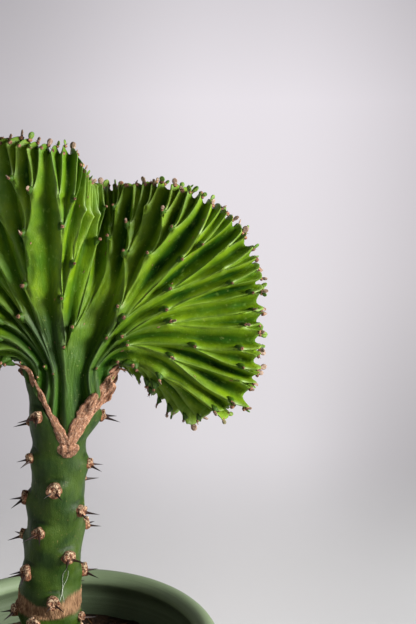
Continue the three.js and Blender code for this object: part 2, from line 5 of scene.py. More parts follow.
import bmesh
import bpy
import numpy as np
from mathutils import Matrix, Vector


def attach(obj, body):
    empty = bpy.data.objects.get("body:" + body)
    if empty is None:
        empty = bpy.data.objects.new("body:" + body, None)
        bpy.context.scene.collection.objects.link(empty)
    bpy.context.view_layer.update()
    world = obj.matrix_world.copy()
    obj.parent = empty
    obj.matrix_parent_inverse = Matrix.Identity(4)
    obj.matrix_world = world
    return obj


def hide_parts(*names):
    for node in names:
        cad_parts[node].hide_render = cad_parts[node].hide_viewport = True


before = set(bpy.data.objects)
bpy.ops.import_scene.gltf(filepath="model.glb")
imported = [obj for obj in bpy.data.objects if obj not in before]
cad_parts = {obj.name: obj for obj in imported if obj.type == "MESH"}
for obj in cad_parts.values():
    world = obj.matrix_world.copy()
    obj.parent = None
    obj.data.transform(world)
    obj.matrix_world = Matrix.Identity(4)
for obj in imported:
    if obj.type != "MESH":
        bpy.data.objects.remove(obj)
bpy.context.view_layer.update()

MM = 0.001  # every size below is in millimetres, in the same frame as the solids


# Sizes shared with the solids.
class Pot:
    height, rim_radius, rim_width, rim_drop, under_rim = 113, 63.1, 8.5, 11, 4.2
    base_radius, wall, floor, lip_depth, lip_step, edge, corner = 45, 3.6, 5, 8.5, 2.2, 1.5, 3
    foot_radius, recess_radius, recess, holes, hole_radius, hole_circle = 40, 18, 1.5, 5, 3.5, 29


class Soil:
    top, crown, gap = 93, 3, 0.4


class Scar:
    first_angle, turn, first_height, rise, lowest, highest = -1, -139.5, 181.9, 3.57, -24, 10
    radius, out, clear_soil, clear_graft = 2.7, 1.2, 7, 6


class Swell:
    out, wide, above, below = 2.0, 3.8, 3.2, 6.5


class Spine:
    length, apart, below, spread, droop = 5.4, 1.1, 0.9, 34, 12


class Knob:
    radius, angle, drop = 4.2, 24, 1


class Crest:
    base_half, lamina_half, taper, rim_half, rim_round, end_round = 10.6, 7, 2.8, 2.2, 0.12, 0.03
    wave, waves = 1.3, 15
    bare_face, bare_rim = 0.03, 0.012  # no tubercles and no teeth this near the horns
    lower_lobe = 0.17, 0.13  # from here on the rim has few but long teeth


class Cusp:
    """Tubercles on the ridges: where along the ribs they and the ledge below them grow."""
    grows, ledge_grows, ledge, profile, lean, leaning = (0.16, 0.5), (0.2, 0.4), 0.8, 2.2, 0.45, 1.2
    rise, sag = 1.8, 3.3  # how far they stand out, and how deep the ridges sag between them


class Throat:
    height, spread, turn, at = 231, 1.5, 48, 0.28


class Fold:
    start, stop, share = 0.36, 0.48, 0.19


class Ribs:
    roots, levels, depth_share, deepest, profile = 8, 3, 0.72, 5.4, 1.7


STOCK_FOOT = 48
APEX, RIGHT_TIP, LEFT_TIP = np.array([5.5, 199.5]), np.array([22.6, 226.5]), np.array([-11.5, 229.0])
# For each level of forks: where the first ribs fork, over what span, and how long a fork takes to open.
FORKS = [(0.15, 0.25, 0.34), (0.42, 0.16, 0.32), (0.64, 0.18, 0.24), (0.84, 0.09, 0.14)]
EARLY = (0, 0.02, 0.02, -0.09)  # the ribs of the lower right lobe fork sooner by these shares

# The crest's rim: x, y, z and the direction of the ribs there, in degrees from +X in the front view.
RIM = np.array([
    [24.5, 3, 226, -62], [29, 9, 222, -70], [34, 13, 218.5, -74], [39, 13, 215.5, -78],
    [44, 10, 210, -80], [50, 4, 207.5, -68], [57, -1.5, 209, -52], [63.5, -5, 212.5, -38],
    [70, -6, 215, -26], [74.5, -5.5, 223, -14], [75.5, -2, 235, -4], [76.5, 2, 250, 6],
    [75, 3.5, 264, 20], [71, 3, 275, 35], [64.5, 1, 283.5, 49], [55.5, 0, 290.5, 63],
    [44, 3, 294, 74], [33, 9, 293.5, 82], [24, 15, 292, 87], [18.5, 14, 291.5, 88],
    [15, 7, 293, 86], [13, -2, 296, 82], [12.5, -10, 302, 78], [11, -15, 308.5, 80],
    [4, -16, 310, 86], [-8, -13, 312, 93], [-21, -7, 311.5, 99], [-35, 0, 308, 107],
    [-48, 7, 301, 118], [-60, 11, 290, 131], [-70, 10, 276, 146], [-76, 4, 261, 163],
    [-78, -3, 244, 178], [-77, -7, 228, 192], [-71, -7, 215, 211], [-62, -1, 207, 236],
    [-51, 7, 207.5, 256], [-41, 12, 216, 254], [-33, 12, 223, 252], [-25, 8, 227.5, 250],
    [-19, 4, 229.5, 246], [-13.5, 2, 231, 240],
])
# Rows of the rootstock's outline: height, centre in x, half width and half depth.
STEM = np.array([
    [48, -4, 5, 5], [58, -4.6, 9, 9], [75, -5, 11.4, 11.2], [94, -5, 11.4, 11.2], [115, -5, 11, 11],
    [124, -5, 11.3, 11.3], [128.5, -5, 12, 12], [136, -4.7, 11.8, 11.8], [139.5, -4.3, 10.9, 11],
    [151, -3, 10.9, 10.9], [177, -0.4, 10.3, 10.6], [189, 0.8, 10, 10.4], [198, 1.1, 10, 10.4],
    [206, 2.8, 12.8, 10.4], [214, 3.9, 13.9, 10.2], [222, 5, 16.1, 9.6], [230, 6.2, 18.3, 8.4],
    [238, 7, 20, 7.6],
])
# Bark strips on the graft: x, z and width along each.
LEFT_BARK = np.array([
    [-15.6, 228.6, 0.7], [-12.3, 228.9, 1.2], [-9.5, 228.0, 1.5], [-7.5, 225.3, 1.4], [-5.3, 221.3, 1.1],
    [-3.4, 218.1, 1.5], [-2.0, 214.0, 1.7], [0.4, 209.2, 2.5], [2.9, 204.8, 3.3], [5.3, 200.2, 3.7],
])
RIGHT_BARK = np.array([
    [5.9, 199.6, 3.4], [7.4, 203.6, 4.0], [9.6, 207.9, 4.4], [12.6, 213.4, 4.5], [15.6, 217.9, 3.4],
    [16.6, 219.2, 1.6],
])
FLAP_BARK = np.array([
    [14.6, 210.6, 1.4], [16.9, 214.6, 3.8], [19.2, 218.4, 5.4], [20.4, 221.8, 5.0], [21.0, 224.3, 2.2],
    [22.6, 225.7, 1.1], [24.9, 226.4, 0.9], [27.4, 225.6, 0.5],
])


# Numbers, angles and curves.
def chance(key):
    """A repeatable number from 0 to 1 for each key."""
    x = np.sin(np.asarray(key, float) * 12.9898 + 4.1) * 43758.5453
    return x - np.floor(x)


def lerp(a, b, f):
    return a + (b - a) * f


def smooth(low, high, x):
    f = np.clip((x - low) / (high - low), 0, 1)
    return f * f * (3 - 2 * f)


def unit(v):
    return v / np.maximum(np.linalg.norm(v, axis=-1, keepdims=True), 1e-9)


def xyz(x, y, z):
    return np.stack(np.broadcast_arrays(x, y, z), -1)


def circle(count):
    return 2 * np.pi * np.arange(count) / count


def apart(a, b):
    """The angle from b to a, from -pi to pi."""
    return np.arctan2(np.sin(a - b), np.cos(a - b))


def grain(points, size, seed=0):
    """Soft noise from -1 to 1 at points, with lumps of about a size."""
    q = np.asarray(points, float) / size + 17.3 * seed
    cell = np.floor(q)
    f = q - cell
    f = f * f * (3 - 2 * f)
    total = np.zeros(q.shape[:-1])
    for corner in itertools.product((0, 1), repeat=3):
        weight = np.prod(np.where(corner, f, 1 - f), axis=-1)
        total += weight * chance((cell + corner) @ np.array([12.71, 31.17, 7.47]) + seed)
    return 2 * total - 1


def spline(rows, s):
    """A smooth curve through rows of numbers, at each s from 0 to 1."""
    last = len(rows) - 1
    at = np.clip(s, 0, 1) * last
    k = np.minimum(np.floor(at).astype(int), last - 1)
    f = (at - k)[..., None]
    padded = np.vstack([2 * rows[0] - rows[1], rows, 2 * rows[-1] - rows[-2]])
    a, b, c, d = padded[k], padded[k + 1], padded[k + 2], padded[k + 3]
    bend = 2 * a - 5 * b + 4 * c - d
    twist = 3 * b - a - 3 * c + d
    return 0.5 * (2 * b + (c - a) * f + bend * f * f + twist * f ** 3)


def bezier(a, b, c, d, t):
    s = 1 - t
    return a * s ** 3 + b * 3 * s * s * t + c * 3 * s * t * t + d * t ** 3


def run_of(points):
    """How far along a path each of its points lies."""
    return np.concatenate([[0], np.cumsum(np.linalg.norm(np.diff(points, axis=0), axis=1))])


def resampled(points, count):
    run = run_of(points)
    return np.stack([np.interp(np.linspace(0, run[-1], count), run, column) for column in points.T], 1)


# Meshes.
def plain(name, points, edges=(), faces=(), marks=None):
    """A mesh from points in millimetres, with a number or a direction per point for each mark."""
    mesh = bpy.data.meshes.new(name)
    mesh.from_pydata((np.asarray(points, float) * MM).tolist(), list(edges), list(faces))
    for key, values in (marks or {}).items():
        values = np.asarray(values, np.float32)
        kind, field = ("FLOAT", "value") if values.ndim == 1 else ("FLOAT_VECTOR", "vector")
        mesh.attributes.new(key, kind, "POINT").data.foreach_set(field, values.ravel())
    piece = bpy.data.objects.new(name, mesh)
    bpy.context.collection.objects.link(piece)
    return piece


def body(name, points, faces, marks=None):
    """A smooth closed mesh with its faces turned outward."""
    piece = plain(name, points, (), [list(map(int, f)) for f in faces], marks)
    made = bmesh.new()
    made.from_mesh(piece.data)
    bmesh.ops.remove_doubles(made, verts=made.verts, dist=0.015 * MM)
    bmesh.ops.recalc_face_normals(made, faces=made.faces)
    for face in made.faces:
        face.smooth = True
    made.to_mesh(piece.data)
    made.free()
    return piece


def grid_faces(rows, columns, loop=True, first=0):
    """Faces of a grid of points, whose columns may close into a loop."""
    r, c = np.meshgrid(np.arange(rows - 1), np.arange(columns if loop else columns - 1), indexing="ij")
    low, c = r.ravel() * columns + first, c.ravel()
    n, high = (c + 1) % columns, low + columns
    return np.stack([low + c, low + n, high + n, high + c], 1).tolist()


def capped(rows, columns):
    """A grid of loops whose two ends are closed by a face each."""
    last = (rows - 1) * columns
    return grid_faces(rows, columns) + [list(range(columns)), list(range(last, last + columns))]


def joined(parts):
    """The points, faces and marks of several parts as one."""
    points, faces, marks = [], [], {}
    for p, f, m in parts:
        first = sum(map(len, points))
        faces += [[i + first for i in face] for face in f]
        points.append(p)
        for key, values in m.items():
            marks.setdefault(key, []).append(values)
    return np.vstack(points), faces, {key: np.concatenate(values) for key, values in marks.items()}


def applied(piece):
    """The piece with its modifiers made plain mesh."""
    deps = bpy.context.evaluated_depsgraph_get()
    mesh = bpy.data.meshes.new_from_object(piece.evaluated_get(deps), depsgraph=deps)
    piece.modifiers.clear()
    piece.data = mesh
    mesh.polygons.foreach_set("use_smooth", [True] * len(mesh.polygons))
    return piece


def settle(piece, slot, material, *nodes):
    """Gives a finished piece its material and its body, and hides the solids it stands for. Its slot is not
    used.
    """
    if material:
        piece.data.materials.clear()
        piece.data.materials.append(material)
    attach(piece, "root")
    if nodes:
        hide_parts(*nodes)
    return piece


# Node trees.
class Nodes:
    """A tree whose nodes are added one after another."""

    def __init__(self, tree):
        self.tree = tree

    def add(self, kind, inputs=None, **settings):
        node = self.tree.nodes.new(kind)
        for key, value in settings.items():
            setattr(node, key, value)
        for key, value in (inputs or {}).items():
            self.feed(node.inputs[key], value)
        return node

    def feed(self, socket, value):
        if isinstance(value, bpy.types.NodeSocket):
            self.tree.links.new(value, socket)
        elif isinstance(value, tuple) and len(value) == 3 and len(socket.default_value) == 4:
            socket.default_value = (*value, 1)
        else:
            socket.default_value = value

    def maths(self, kind, a, b=0.0):
        return self.add("ShaderNodeMath", {0: a, 1: b}, operation=kind).outputs[0]

    def times(self, product, *factors):
        for factor in factors:
            product = self.maths("MULTIPLY", product, factor)
        return product


# Rules that make meshes: one plants small shapes, the other makes strands.
def new_rule(name, **sockets):
    tree = bpy.data.node_groups.new(name, "GeometryNodeTree")
    for key, kind in sockets.items():
        tree.interface.new_socket(key, in_out="INPUT", socket_type="NodeSocket" + kind)
    tree.interface.new_socket("Made", in_out="OUTPUT", socket_type="NodeSocketGeometry")
    rule = Nodes(tree)
    return rule, rule.add("NodeGroupInput").outputs


def ended(rule, given, made):
    """Ends a rule: what it made becomes plain mesh of the given material."""
    real = rule.add("GeometryNodeRealizeInstances", {0: made})
    look = rule.add("GeometryNodeSetMaterial", {"Geometry": real.outputs[0], "Material": given["Finish"]})
    rule.add("NodeGroupOutput", {0: look.outputs[0]})
    return rule.tree


def planting_rule():
    rule, given = new_rule("planting", Seats="Geometry", Shape="Object", Size="Float", Uneven="Float",
                           Spin="Float", Seed="Int", Finish="Material")

    def seat(name, kind="FLOAT_VECTOR"):
        node = rule.add("GeometryNodeInputNamedAttribute", {"Name": name}, data_type=kind)
        return node.outputs["Attribute"]

    def drawn(shift):
        inputs = {"Seed": rule.maths("ADD", given["Seed"], shift), 2: -1, 3: 1}
        return rule.add("FunctionNodeRandomValue", inputs, data_type="FLOAT").outputs[1]

    stand = rule.add("FunctionNodeAxesToRotation", {0: seat("up"), 1: seat("ahead")},
                     primary_axis="Z", secondary_axis="X")
    about = rule.add("ShaderNodeCombineXYZ", {"Z": rule.times(drawn(1), given["Spin"])})
    turn = rule.add("FunctionNodeEulerToRotation", {0: about.outputs[0]})
    spin = rule.add("FunctionNodeRotateRotation", {0: stand.outputs[0], 1: turn.outputs[0]},
                    rotation_space="LOCAL")
    uneven = rule.maths("ADD", 1.0, rule.times(drawn(2), given["Uneven"]))
    shape = rule.add("GeometryNodeObjectInfo", {0: given["Shape"]})
    planted = rule.add("GeometryNodeInstanceOnPoints", {
        "Points": given["Seats"], "Instance": shape.outputs["Geometry"], "Rotation": spin.outputs[0],
        "Scale": rule.times(seat("size", "FLOAT"), given["Size"], uneven)})
    return ended(rule, given, planted.outputs[0])


def strand_rule():
    rule, given = new_rule("strands", Paths="Geometry", Radius="Float", Sides="Int", Finish="Material")
    path = rule.add("GeometryNodeMeshToCurve", {"Mesh": given["Paths"]})
    girth = rule.add("GeometryNodeCurvePrimitiveCircle",
                     {"Resolution": given["Sides"], "Radius": given["Radius"]})
    tube = rule.add("GeometryNodeCurveToMesh", {"Curve": path.outputs[0], "Profile Curve": girth.outputs[0],
                                                "Fill Caps": True})
    return ended(rule, given, tube.outputs[0])


PLANTING, STRANDS = planting_rule(), strand_rule()


def ruled(piece, tree, **inputs):
    """The plain mesh that a rule makes of a piece."""
    rule = piece.modifiers.new(tree.name, "NODES")
    rule.node_group = tree
    for socket in tree.interface.items_tree:
        if socket.name in inputs:
            rule[socket.identifier] = inputs[socket.name]
    return applied(piece)


def plant(name, shape, seats, slot, finish, size=1.0, uneven=0.0, spin=0.0, seed=1):
    """Copies of a shape on rows of seats: a place, an up, an ahead, a size and a tint each."""
    columns = [np.concatenate(column) for column in zip(*seats)]
    piece = plain(name, columns[0], marks=dict(zip(("up", "ahead", "size", "tint"), columns[1:])))
    ruled(piece, PLANTING, Shape=shape, Size=size, Uneven=uneven, Spin=spin, Seed=seed, Finish=finish)
    for spare in ("up", "ahead", "size"):
        if spare in piece.data.attributes:
            piece.data.attributes.remove(piece.data.attributes[spare])
    bpy.data.objects.remove(shape)
    return settle(piece, slot, None)


def strands(name, paths, radius, sides, slot, finish):
    """Tubes of one radius round paths of points in millimetres."""
    edges, first = [], 0
    for path in paths:
        edges += [(first + i, first + i + 1) for i in range(len(path) - 1)]
        first += len(path)
    piece = plain(name, np.vstack(paths), edges)
    return settle(ruled(piece, STRANDS, Radius=radius * MM, Sides=sides, Finish=finish), slot, None)


# Materials.
class Mixture(Nodes):
    """A material that is built up in layers of colour."""

    def __init__(self, name):
        self.material = bpy.data.materials.new(name)
        self.material.use_nodes = True
        self.tree = self.material.node_tree
        self.shader = self.tree.nodes["Principled BSDF"].inputs

    def place(self, stretch=(1, 1, 1)):
        """Object coordinates in millimetres, with a stretch along each axis."""
        at = self.add("ShaderNodeTexCoord").outputs["Object"]
        scale = tuple(1000 / s for s in stretch)
        return self.add("ShaderNodeMapping", {"Vector": at, "Scale": scale}).outputs[0]

    def mark(self, name):
        return self.add("ShaderNodeAttribute", attribute_name=name).outputs["Fac"]

    def plane(self, x, y):
        return self.add("ShaderNodeCombineXYZ", {"X": x, "Y": y}).outputs[0]

    def noise(self, size, detail=3, rough=0.5, at=None, low=0.3, high=0.7):
        """Noise with lumps of a size in millimetres, spread from 0 to 1."""
        node = self.add("ShaderNodeTexNoise", {"Vector": at or self.place(), "Scale": 1 / size,
                                               "Detail": detail, "Roughness": rough})
        return self.spread(node.outputs["Fac"], low, high)

    def spread(self, value, low, high, to_low=0.0, to_high=1.0):
        return self.add("ShaderNodeMapRange", {"Value": value, "From Min": low, "From Max": high,
                                               "To Min": to_low, "To Max": to_high},
                        interpolation_type="SMOOTHSTEP").outputs[0]

    def blend(self, share, a, b):
        return self.add("ShaderNodeMix", {0: share, 6: a, 7: b}, data_type="RGBA").outputs[2]

    def steps(self, value, *stops):
        node = self.add("ShaderNodeValToRGB", {"Fac": value})
        ramp = node.color_ramp
        while len(ramp.elements) < len(stops):
            ramp.elements.new(0.5)
        for element, (where, colour) in zip(ramp.elements, stops):
            element.position = where
            element.color = (*colour, 1)
        return node.outputs["Color"]

    def start(self, share, a, b):
        self.colour = self.blend(share, a, b)

    def layer(self, colour, *shares):
        """Lays a colour over the mixture where the product of the shares is high."""
        self.colour = self.blend(self.times(*shares), self.colour, colour)

    def relief(self, height, depth, under=None):
        """A bump of a depth in millimetres, over another one."""
        inputs = {"Height": height, "Strength": 1.0, "Distance": depth * MM}
        if under is not None:
            inputs["Normal"] = under
        return self.add("ShaderNodeBump", inputs).outputs[0]

    def done(self, roughness, normal=None, specular=0.5):
        values = {"Base Color": self.colour, "Roughness": roughness, "Specular IOR Level": specular,
                  "Normal": normal}
        for key, value in values.items():
            if value is not None:
                self.feed(self.shader[key], value)
        return self.material


def crest_flesh():
    m = Mixture("crest flesh")
    valley, edge, reach, rib = (m.mark(name) for name in ("valley", "edge", "reach", "rib"))
    along, broad = (m.plane(rib, m.times(reach, length)) for length in (9.0, 14.0))
    streaks, patches = m.noise(0.55, 4, 0.6, at=along), m.noise(16, 2)
    lit = m.blend(patches, (0.07, 0.165, 0.001), (0.155, 0.26, 0.002))
    # Painted light: the flesh is a brighter yellow-green on the right lobe, the side that faces the window.
    lit = m.blend(m.spread(rib, 32, 20, 0.0, 0.55), lit, (0.2, 0.32, 0.006))
    # Painted shade: the flesh turns a much darker green where the valley mark says it lies deep between the
    # ridges, and the specular is turned down there too.
    deep = m.blend(patches, (0.003, 0.019, 0.0005), (0.008, 0.036, 0.001))
    m.start(m.spread(valley, 0.0, 0.66), lit, deep)
    m.layer((0.026, 0.1, 0.006), streaks, 0.45)
    m.layer((0.22, 0.36, 0.06), m.noise(0.3, 3, 0.6, at=along, low=0.55, high=0.75),
            m.spread(reach, 0.3, 0.7, 0.05, 0.3))
    # The neck is darker, with painted shade in dark patches standing for its hollows, and a touch of wax.
    m.layer((0.014, 0.058, 0.001), m.spread(reach, 0.62, 0.25, 0.0, 0.74))
    m.layer((0.005, 0.026, 0.001), m.noise(3.4, 2, 0.5, at=broad, low=0.42, high=0.62),
            m.spread(reach, 0.6, 0.38, 0.0, 0.75))
    m.layer((0.05, 0.12, 0.03), m.spread(reach, 0.5, 0.12), m.noise(7, 3, 0.6, low=0.25, high=0.75), 0.25)
    # Painted highlights along the ridges behind the tubercles, and pale specks.
    m.layer((0.34, 0.44, 0.22), edge, m.spread(m.mark("tip"), 0.0, 1.0, 0.12, 0.75))
    m.layer((0.3, 0.33, 0.1), m.noise(1.1, 2, 0.5, low=0.66, high=0.74), 0.3)
    return m.done(m.spread(m.noise(3, 3), 0.0, 1.0, 0.4, 0.56),
                  m.relief(streaks, 0.11, m.relief(m.noise(0.5, 3), 0.05)),
                  m.spread(valley, 0.0, 0.4, 0.24, 0.04))


def stock_skin():
    m = Mixture("rootstock skin")
    cork, shade = m.mark("cork"), m.mark("shade")
    m.start(m.noise(9, 3), (0.006, 0.026, 0.002), (0.038, 0.072, 0.005))
    m.layer((0.06, 0.11, 0.022), m.noise(1.6, 4, 0.6, at=m.place((1, 1, 7))), 0.3)
    m.layer((0.006, 0.02, 0.006), shade, 0.8)
    m.layer((0.3, 0.2, 0.08), m.noise(0.8, 2, 0.4, low=0.7, high=0.76), 0.5)
    strips = m.noise(1.2, 4, 0.65, at=m.place((0.6, 0.6, 4)))
    m.layer(m.blend(strips, (0.1, 0.045, 0.02), (0.38, 0.225, 0.12)), cork)
    ridges = m.times(m.noise(0.9, 3, 0.6, at=m.place((0.7, 0.7, 5))), m.spread(cork, 0, 1, 0.07, 1.0))
    return m.done(m.spread(cork, 0.0, 1.0, 0.45, 0.85),
                  m.relief(ridges, 0.35, m.relief(m.noise(0.6, 4, 0.6), 0.06)), 0.2)


def graft_bark_skin():
    """Cork and bark: the streaks follow the marks run and across."""
    m = Mixture("graft bark")
    lines = m.plane(m.mark("across"), m.times(m.mark("run"), 0.16))
    streaks, lumps = m.noise(0.63, 4, 0.65, at=lines), m.noise(1.4, 4, 0.65)
    m.start(m.times(m.maths("ADD", lumps, streaks), 0.5), (0.2, 0.07, 0.032), (0.66, 0.35, 0.2))
    m.layer((0.88, 0.62, 0.45), m.noise(0.63, 3, 0.6, low=0.5, high=0.7), 0.75)
    m.layer((0.07, 0.0245, 0.0112), m.noise(0.49, 2, 0.4, at=lines, low=0.46, high=0.36), 0.55)
    fine = m.relief(lumps, 0.3, m.relief(m.noise(0.35, 3, 0.6), 0.08))
    return m.done(0.8, m.relief(streaks, 0.4, fine), 0.3)


def pad_cork():
    """Leaf scars: pale on top and red-brown underneath, with pits; the pale top is partly their own colour
    and partly painted light.
    """
    m = Mixture("pad cork")
    lumps, pits = m.noise(1.1, 4, 0.65), m.noise(0.55, 3, 0.55, low=0.54, high=0.42)
    m.start(lumps, (0.13, 0.036, 0.014), (0.42, 0.18, 0.085))
    # Partly painted light: the upper side of each pad is pale straw.
    m.layer((0.7, 0.55, 0.36), m.mark("upper"), m.noise(1.1, 3, 0.6, low=0.4, high=0.62))
    m.layer((0.035, 0.016, 0.01), pits, 0.75)
    return m.done(0.8, m.relief(lumps, 0.45, m.relief(pits, 0.25)), 0.3)


def thorn_horn():
    m = Mixture("thorn horn")
    m.colour = m.steps(m.mark("along"), (0.0, (0.15, 0.06, 0.028)), (0.22, (0.035, 0.015, 0.01)),
                       (0.7, (0.01, 0.006, 0.006)), (1.0, (0.016, 0.01, 0.01)))
    return m.done(0.45, m.relief(m.noise(0.4, 2), 0.04), 0.3)


def scar_brown():
    m = Mixture("scar brown")
    m.start(m.noise(0.6, 3, 0.6), (0.15, 0.05, 0.025), (0.55, 0.3, 0.17))
    m.layer((0.05, 0.02, 0.012), m.mark("tint"), 0.65)
    return m.done(0.75, m.relief(m.noise(0.4, 3), 0.15), 0.35)


def leaflet_skin():
    """Fresh or dried leaflets, by their tint, with brown stalks."""
    m = Mixture("leaflet skin")
    fresh = m.blend(m.noise(1.5, 2), (0.055, 0.15, 0.012), (0.2, 0.3, 0.03))
    dried = m.blend(m.noise(0.8, 3, 0.6), (0.15, 0.085, 0.05), (0.42, 0.3, 0.22))
    m.start(m.spread(m.mark("tint"), 0.45, 0.55), fresh, dried)
    m.layer((0.09, 0.035, 0.02), m.spread(m.mark("along"), 0.35, 0.0))
    return m.done(0.55, m.relief(m.noise(0.4, 3), 0.06), 0.4)


def pot_glaze():
    """Matte glaze with the faint lines of the potter's wheel, with painted shade inside the pot."""
    m = Mixture("pot glaze")
    turned_lines = m.noise(1.7, 3, 0.55, at=m.place((400, 400, 1)), low=0.2, high=0.8)
    clouds = m.noise(22, 3)
    m.start(clouds, (0.165, 0.222, 0.12), (0.19, 0.252, 0.14))
    m.layer((0.2, 0.265, 0.16), turned_lines, 0.3)
    m.layer((0.1, 0.14, 0.08), m.noise(0.5, 2, 0.5, low=0.62, high=0.72), 0.2)
    # Painted shade: the underside of the lip, the inner wall and the floor are darkened.
    m.layer((0.012, 0.024, 0.008), m.mark("inside"), 0.6)
    return m.done(m.spread(clouds, 0, 1, 0.5, 0.62),
                  m.relief(turned_lines, 0.12, m.relief(m.noise(0.35, 3), 0.03)), 0.4)


def crumb_brown():
    m = Mixture("crumb brown")
    m.colour = m.steps(m.mark("tint"), (0.0, (0.012, 0.007, 0.004)), (0.45, (0.035, 0.018, 0.009)),
                       (0.8, (0.11, 0.05, 0.02)), (1.0, (0.26, 0.15, 0.08)))
    return m.done(0.9, m.relief(m.noise(0.5, 3, 0.6), 0.15), 0.2)


def two_tone(name, lumps, dark, light, bumps, depth, rough, specular):
    """A simple material of two colours in lumps, with fine bumps."""
    m = Mixture(name)
    m.start(m.noise(*lumps), dark, light)
    return m.done(rough, m.relief(m.noise(*bumps), depth), specular)


EYE = (58, -437, 366)  # about where the photograph was taken from


def stage_paper_and_painted_glow():
    """The near floor is plain paper, darker towards the right as painted shade. The far floor and wall glow
    as painted light that fades to the sides and is dimmer low on the right.
    """
    m = Mixture("stage paper")
    x, y, z = m.add("ShaderNodeSeparateXYZ", {0: m.place()}).outputs
    away = m.maths("MAXIMUM", m.maths("SUBTRACT", y, EYE[1]), 100.0)
    aside = m.maths("DIVIDE", m.maths("SUBTRACT", x, EYE[0]), away)
    below = m.maths("DIVIDE", m.maths("SUBTRACT", EYE[2], z), away)
    # Painted light: the glow is brightest a little below eye height.
    painted_glow = m.steps(m.maths("DIVIDE", below, 0.45), (0.0, (0.65, 0.62, 0.655)), (0.2, (0.8, 0.76, 0.805)),
                   (0.55, (0.775, 0.738, 0.77)), (1.0, (0.7, 0.675, 0.7)))
    # Painted shade: the glow dims to the sides and low on the right.
    off = m.maths("ABSOLUTE", m.maths("SUBTRACT", aside, 0.033))
    painted_glow = m.blend(m.spread(off, 0.02, 0.24, 0.0, 0.36), painted_glow, (0.0, 0.0, 0.0))
    low_right_shade = m.times(m.spread(aside, 0.05, 0.17), m.spread(below, 0.2, 0.43), 0.17)
    painted_glow = m.blend(low_right_shade, painted_glow, (0.0, 0.0, 0.0))
    seen = m.times(m.spread(m.maths("ABSOLUTE", aside), 0.42, 0.25), m.spread(below, -0.12, -0.01))
    # The glow, painted light, covers the far floor and the wall within view.
    far = m.times(m.spread(y, 240, 520), seen)
    m.feed(m.shader["Emission Color"], painted_glow)
    m.feed(m.shader["Emission Strength"], far)
    # Painted shade: the paper darkens towards the right.
    m.start(m.spread(aside, 0.0, 0.2), (0.735, 0.73, 0.745), (0.6, 0.6, 0.615))
    m.layer((0.02, 0.02, 0.02), far)
    return m.done(0.95, specular=0.0)


# The crest's middle surface.
RIM_SHARE = np.arange(601) / 600
RIM_RUN = run_of(spline(RIM, RIM_SHARE)[:, :3])


def foot_share(u):
    """Where along the V a rib stands, from -1 at the right horn to 1 at the left one."""
    return -1 + 2 * lerp(u, smooth(Fold.start, Fold.stop, u), Fold.share)


def middle(u, t):
    """Points of the crest's middle surface at shares u along the rim and t along the ribs."""
    u, t = (np.ravel(a) for a in np.broadcast_arrays(np.asarray(u, float), np.asarray(t, float)))
    v = foot_share(u)
    share = np.abs(v)
    tip = np.where((v < 0)[:, None], RIGHT_TIP, LEFT_TIP)
    x = lerp(APEX[0], tip[:, 0], share)
    foot = xyz(x, 0, lerp(APEX[1], tip[:, 1], share) - 4)
    throat = xyz(x - Throat.spread * v * share, 0, lerp(Throat.height, tip[:, 1] + 1.5, share ** 4))
    turn = np.radians(Throat.turn * np.sign(v) * share ** 0.8)

    def climbing(angle):
        return xyz(-np.sin(angle), 0, np.cos(angle))

    rim = spline(RIM, np.interp(np.clip(u, 0, 1) * RIM_RUN[-1], RIM_RUN, RIM_SHARE))
    lean, rim = np.radians(rim[:, 3]), rim[:, :3]
    climb = np.linalg.norm(throat - foot, axis=1)[:, None] / 3
    far = np.linalg.norm(rim - throat, axis=1)[:, None]
    low = bezier(foot, foot + climbing(0.3 * turn) * climb, throat - climbing(turn) * climb, throat,
                 (t / Throat.at)[:, None])
    last = rim - xyz(np.cos(lean), 0, np.sin(lean)) * 0.34 * far
    last[:, 1] = 0.55 * rim[:, 1]
    high = bezier(throat, throat + climbing(turn) * 0.36 * far, last, rim,
                  ((t - Throat.at) / (1 - Throat.at))[:, None])
    points = np.where((t < Throat.at)[:, None], low, high)
    points[:, 1] += Crest.wave * np.sin(2 * np.pi * Crest.waves * u) * t * t
    return points


def facing_table(across=150, along=12, step=0.004):
    """The crest's own normals, evened out along the rim."""
    u = np.arange(across + 1) / across
    rows = []
    for t in np.arange(along + 1) / along:
        du = middle(np.minimum(u + step, 1), t) - middle(np.maximum(u - step, 0), t)
        dt = middle(u, min(t + step, 1)) - middle(u, max(t - step, 0))
        raw = unit(np.cross(dt, du))
        spread = lerp(0.05, 0.01, t) * across
        reach = math.ceil(3 * spread)
        total = np.zeros_like(raw)
        for k in range(-reach, reach + 1):
            near = np.clip(np.arange(across + 1) + k, 0, across)
            total += raw[near] * math.exp(-k * k / (2 * spread * spread))
        rows.append(unit(total))
    return np.array(rows)


FACING = facing_table()


def facing(u, t):
    u, t = np.broadcast_arrays(np.asarray(u, float), np.asarray(t, float))
    rows, columns = FACING.shape[0] - 1, FACING.shape[1] - 1
    x, y = np.clip(u, 0, 1) * columns, np.clip(t, 0, 1) * rows
    i, j = np.minimum(x.astype(int), columns - 1), np.minimum(y.astype(int), rows - 1)
    fx, fy = (x - i)[..., None], (y - j)[..., None]
    low, high = (lerp(FACING[row, i], FACING[row, i + 1], fx) for row in (j, j + 1))
    return unit(lerp(low, high, fy))


def outward(u, t):
    """The way a rib runs at a spot of the middle surface."""
    return unit(middle(u, np.minimum(np.asarray(t) + 0.01, 1)) - middle(u, np.minimum(t, 0.999) - 0.01))


def sideways(u, t):
    """The way the rim runs beside a spot of the middle surface."""
    return unit(middle(np.minimum(u + 0.003, 1), t) - middle(np.maximum(u - 0.003, 0), t))


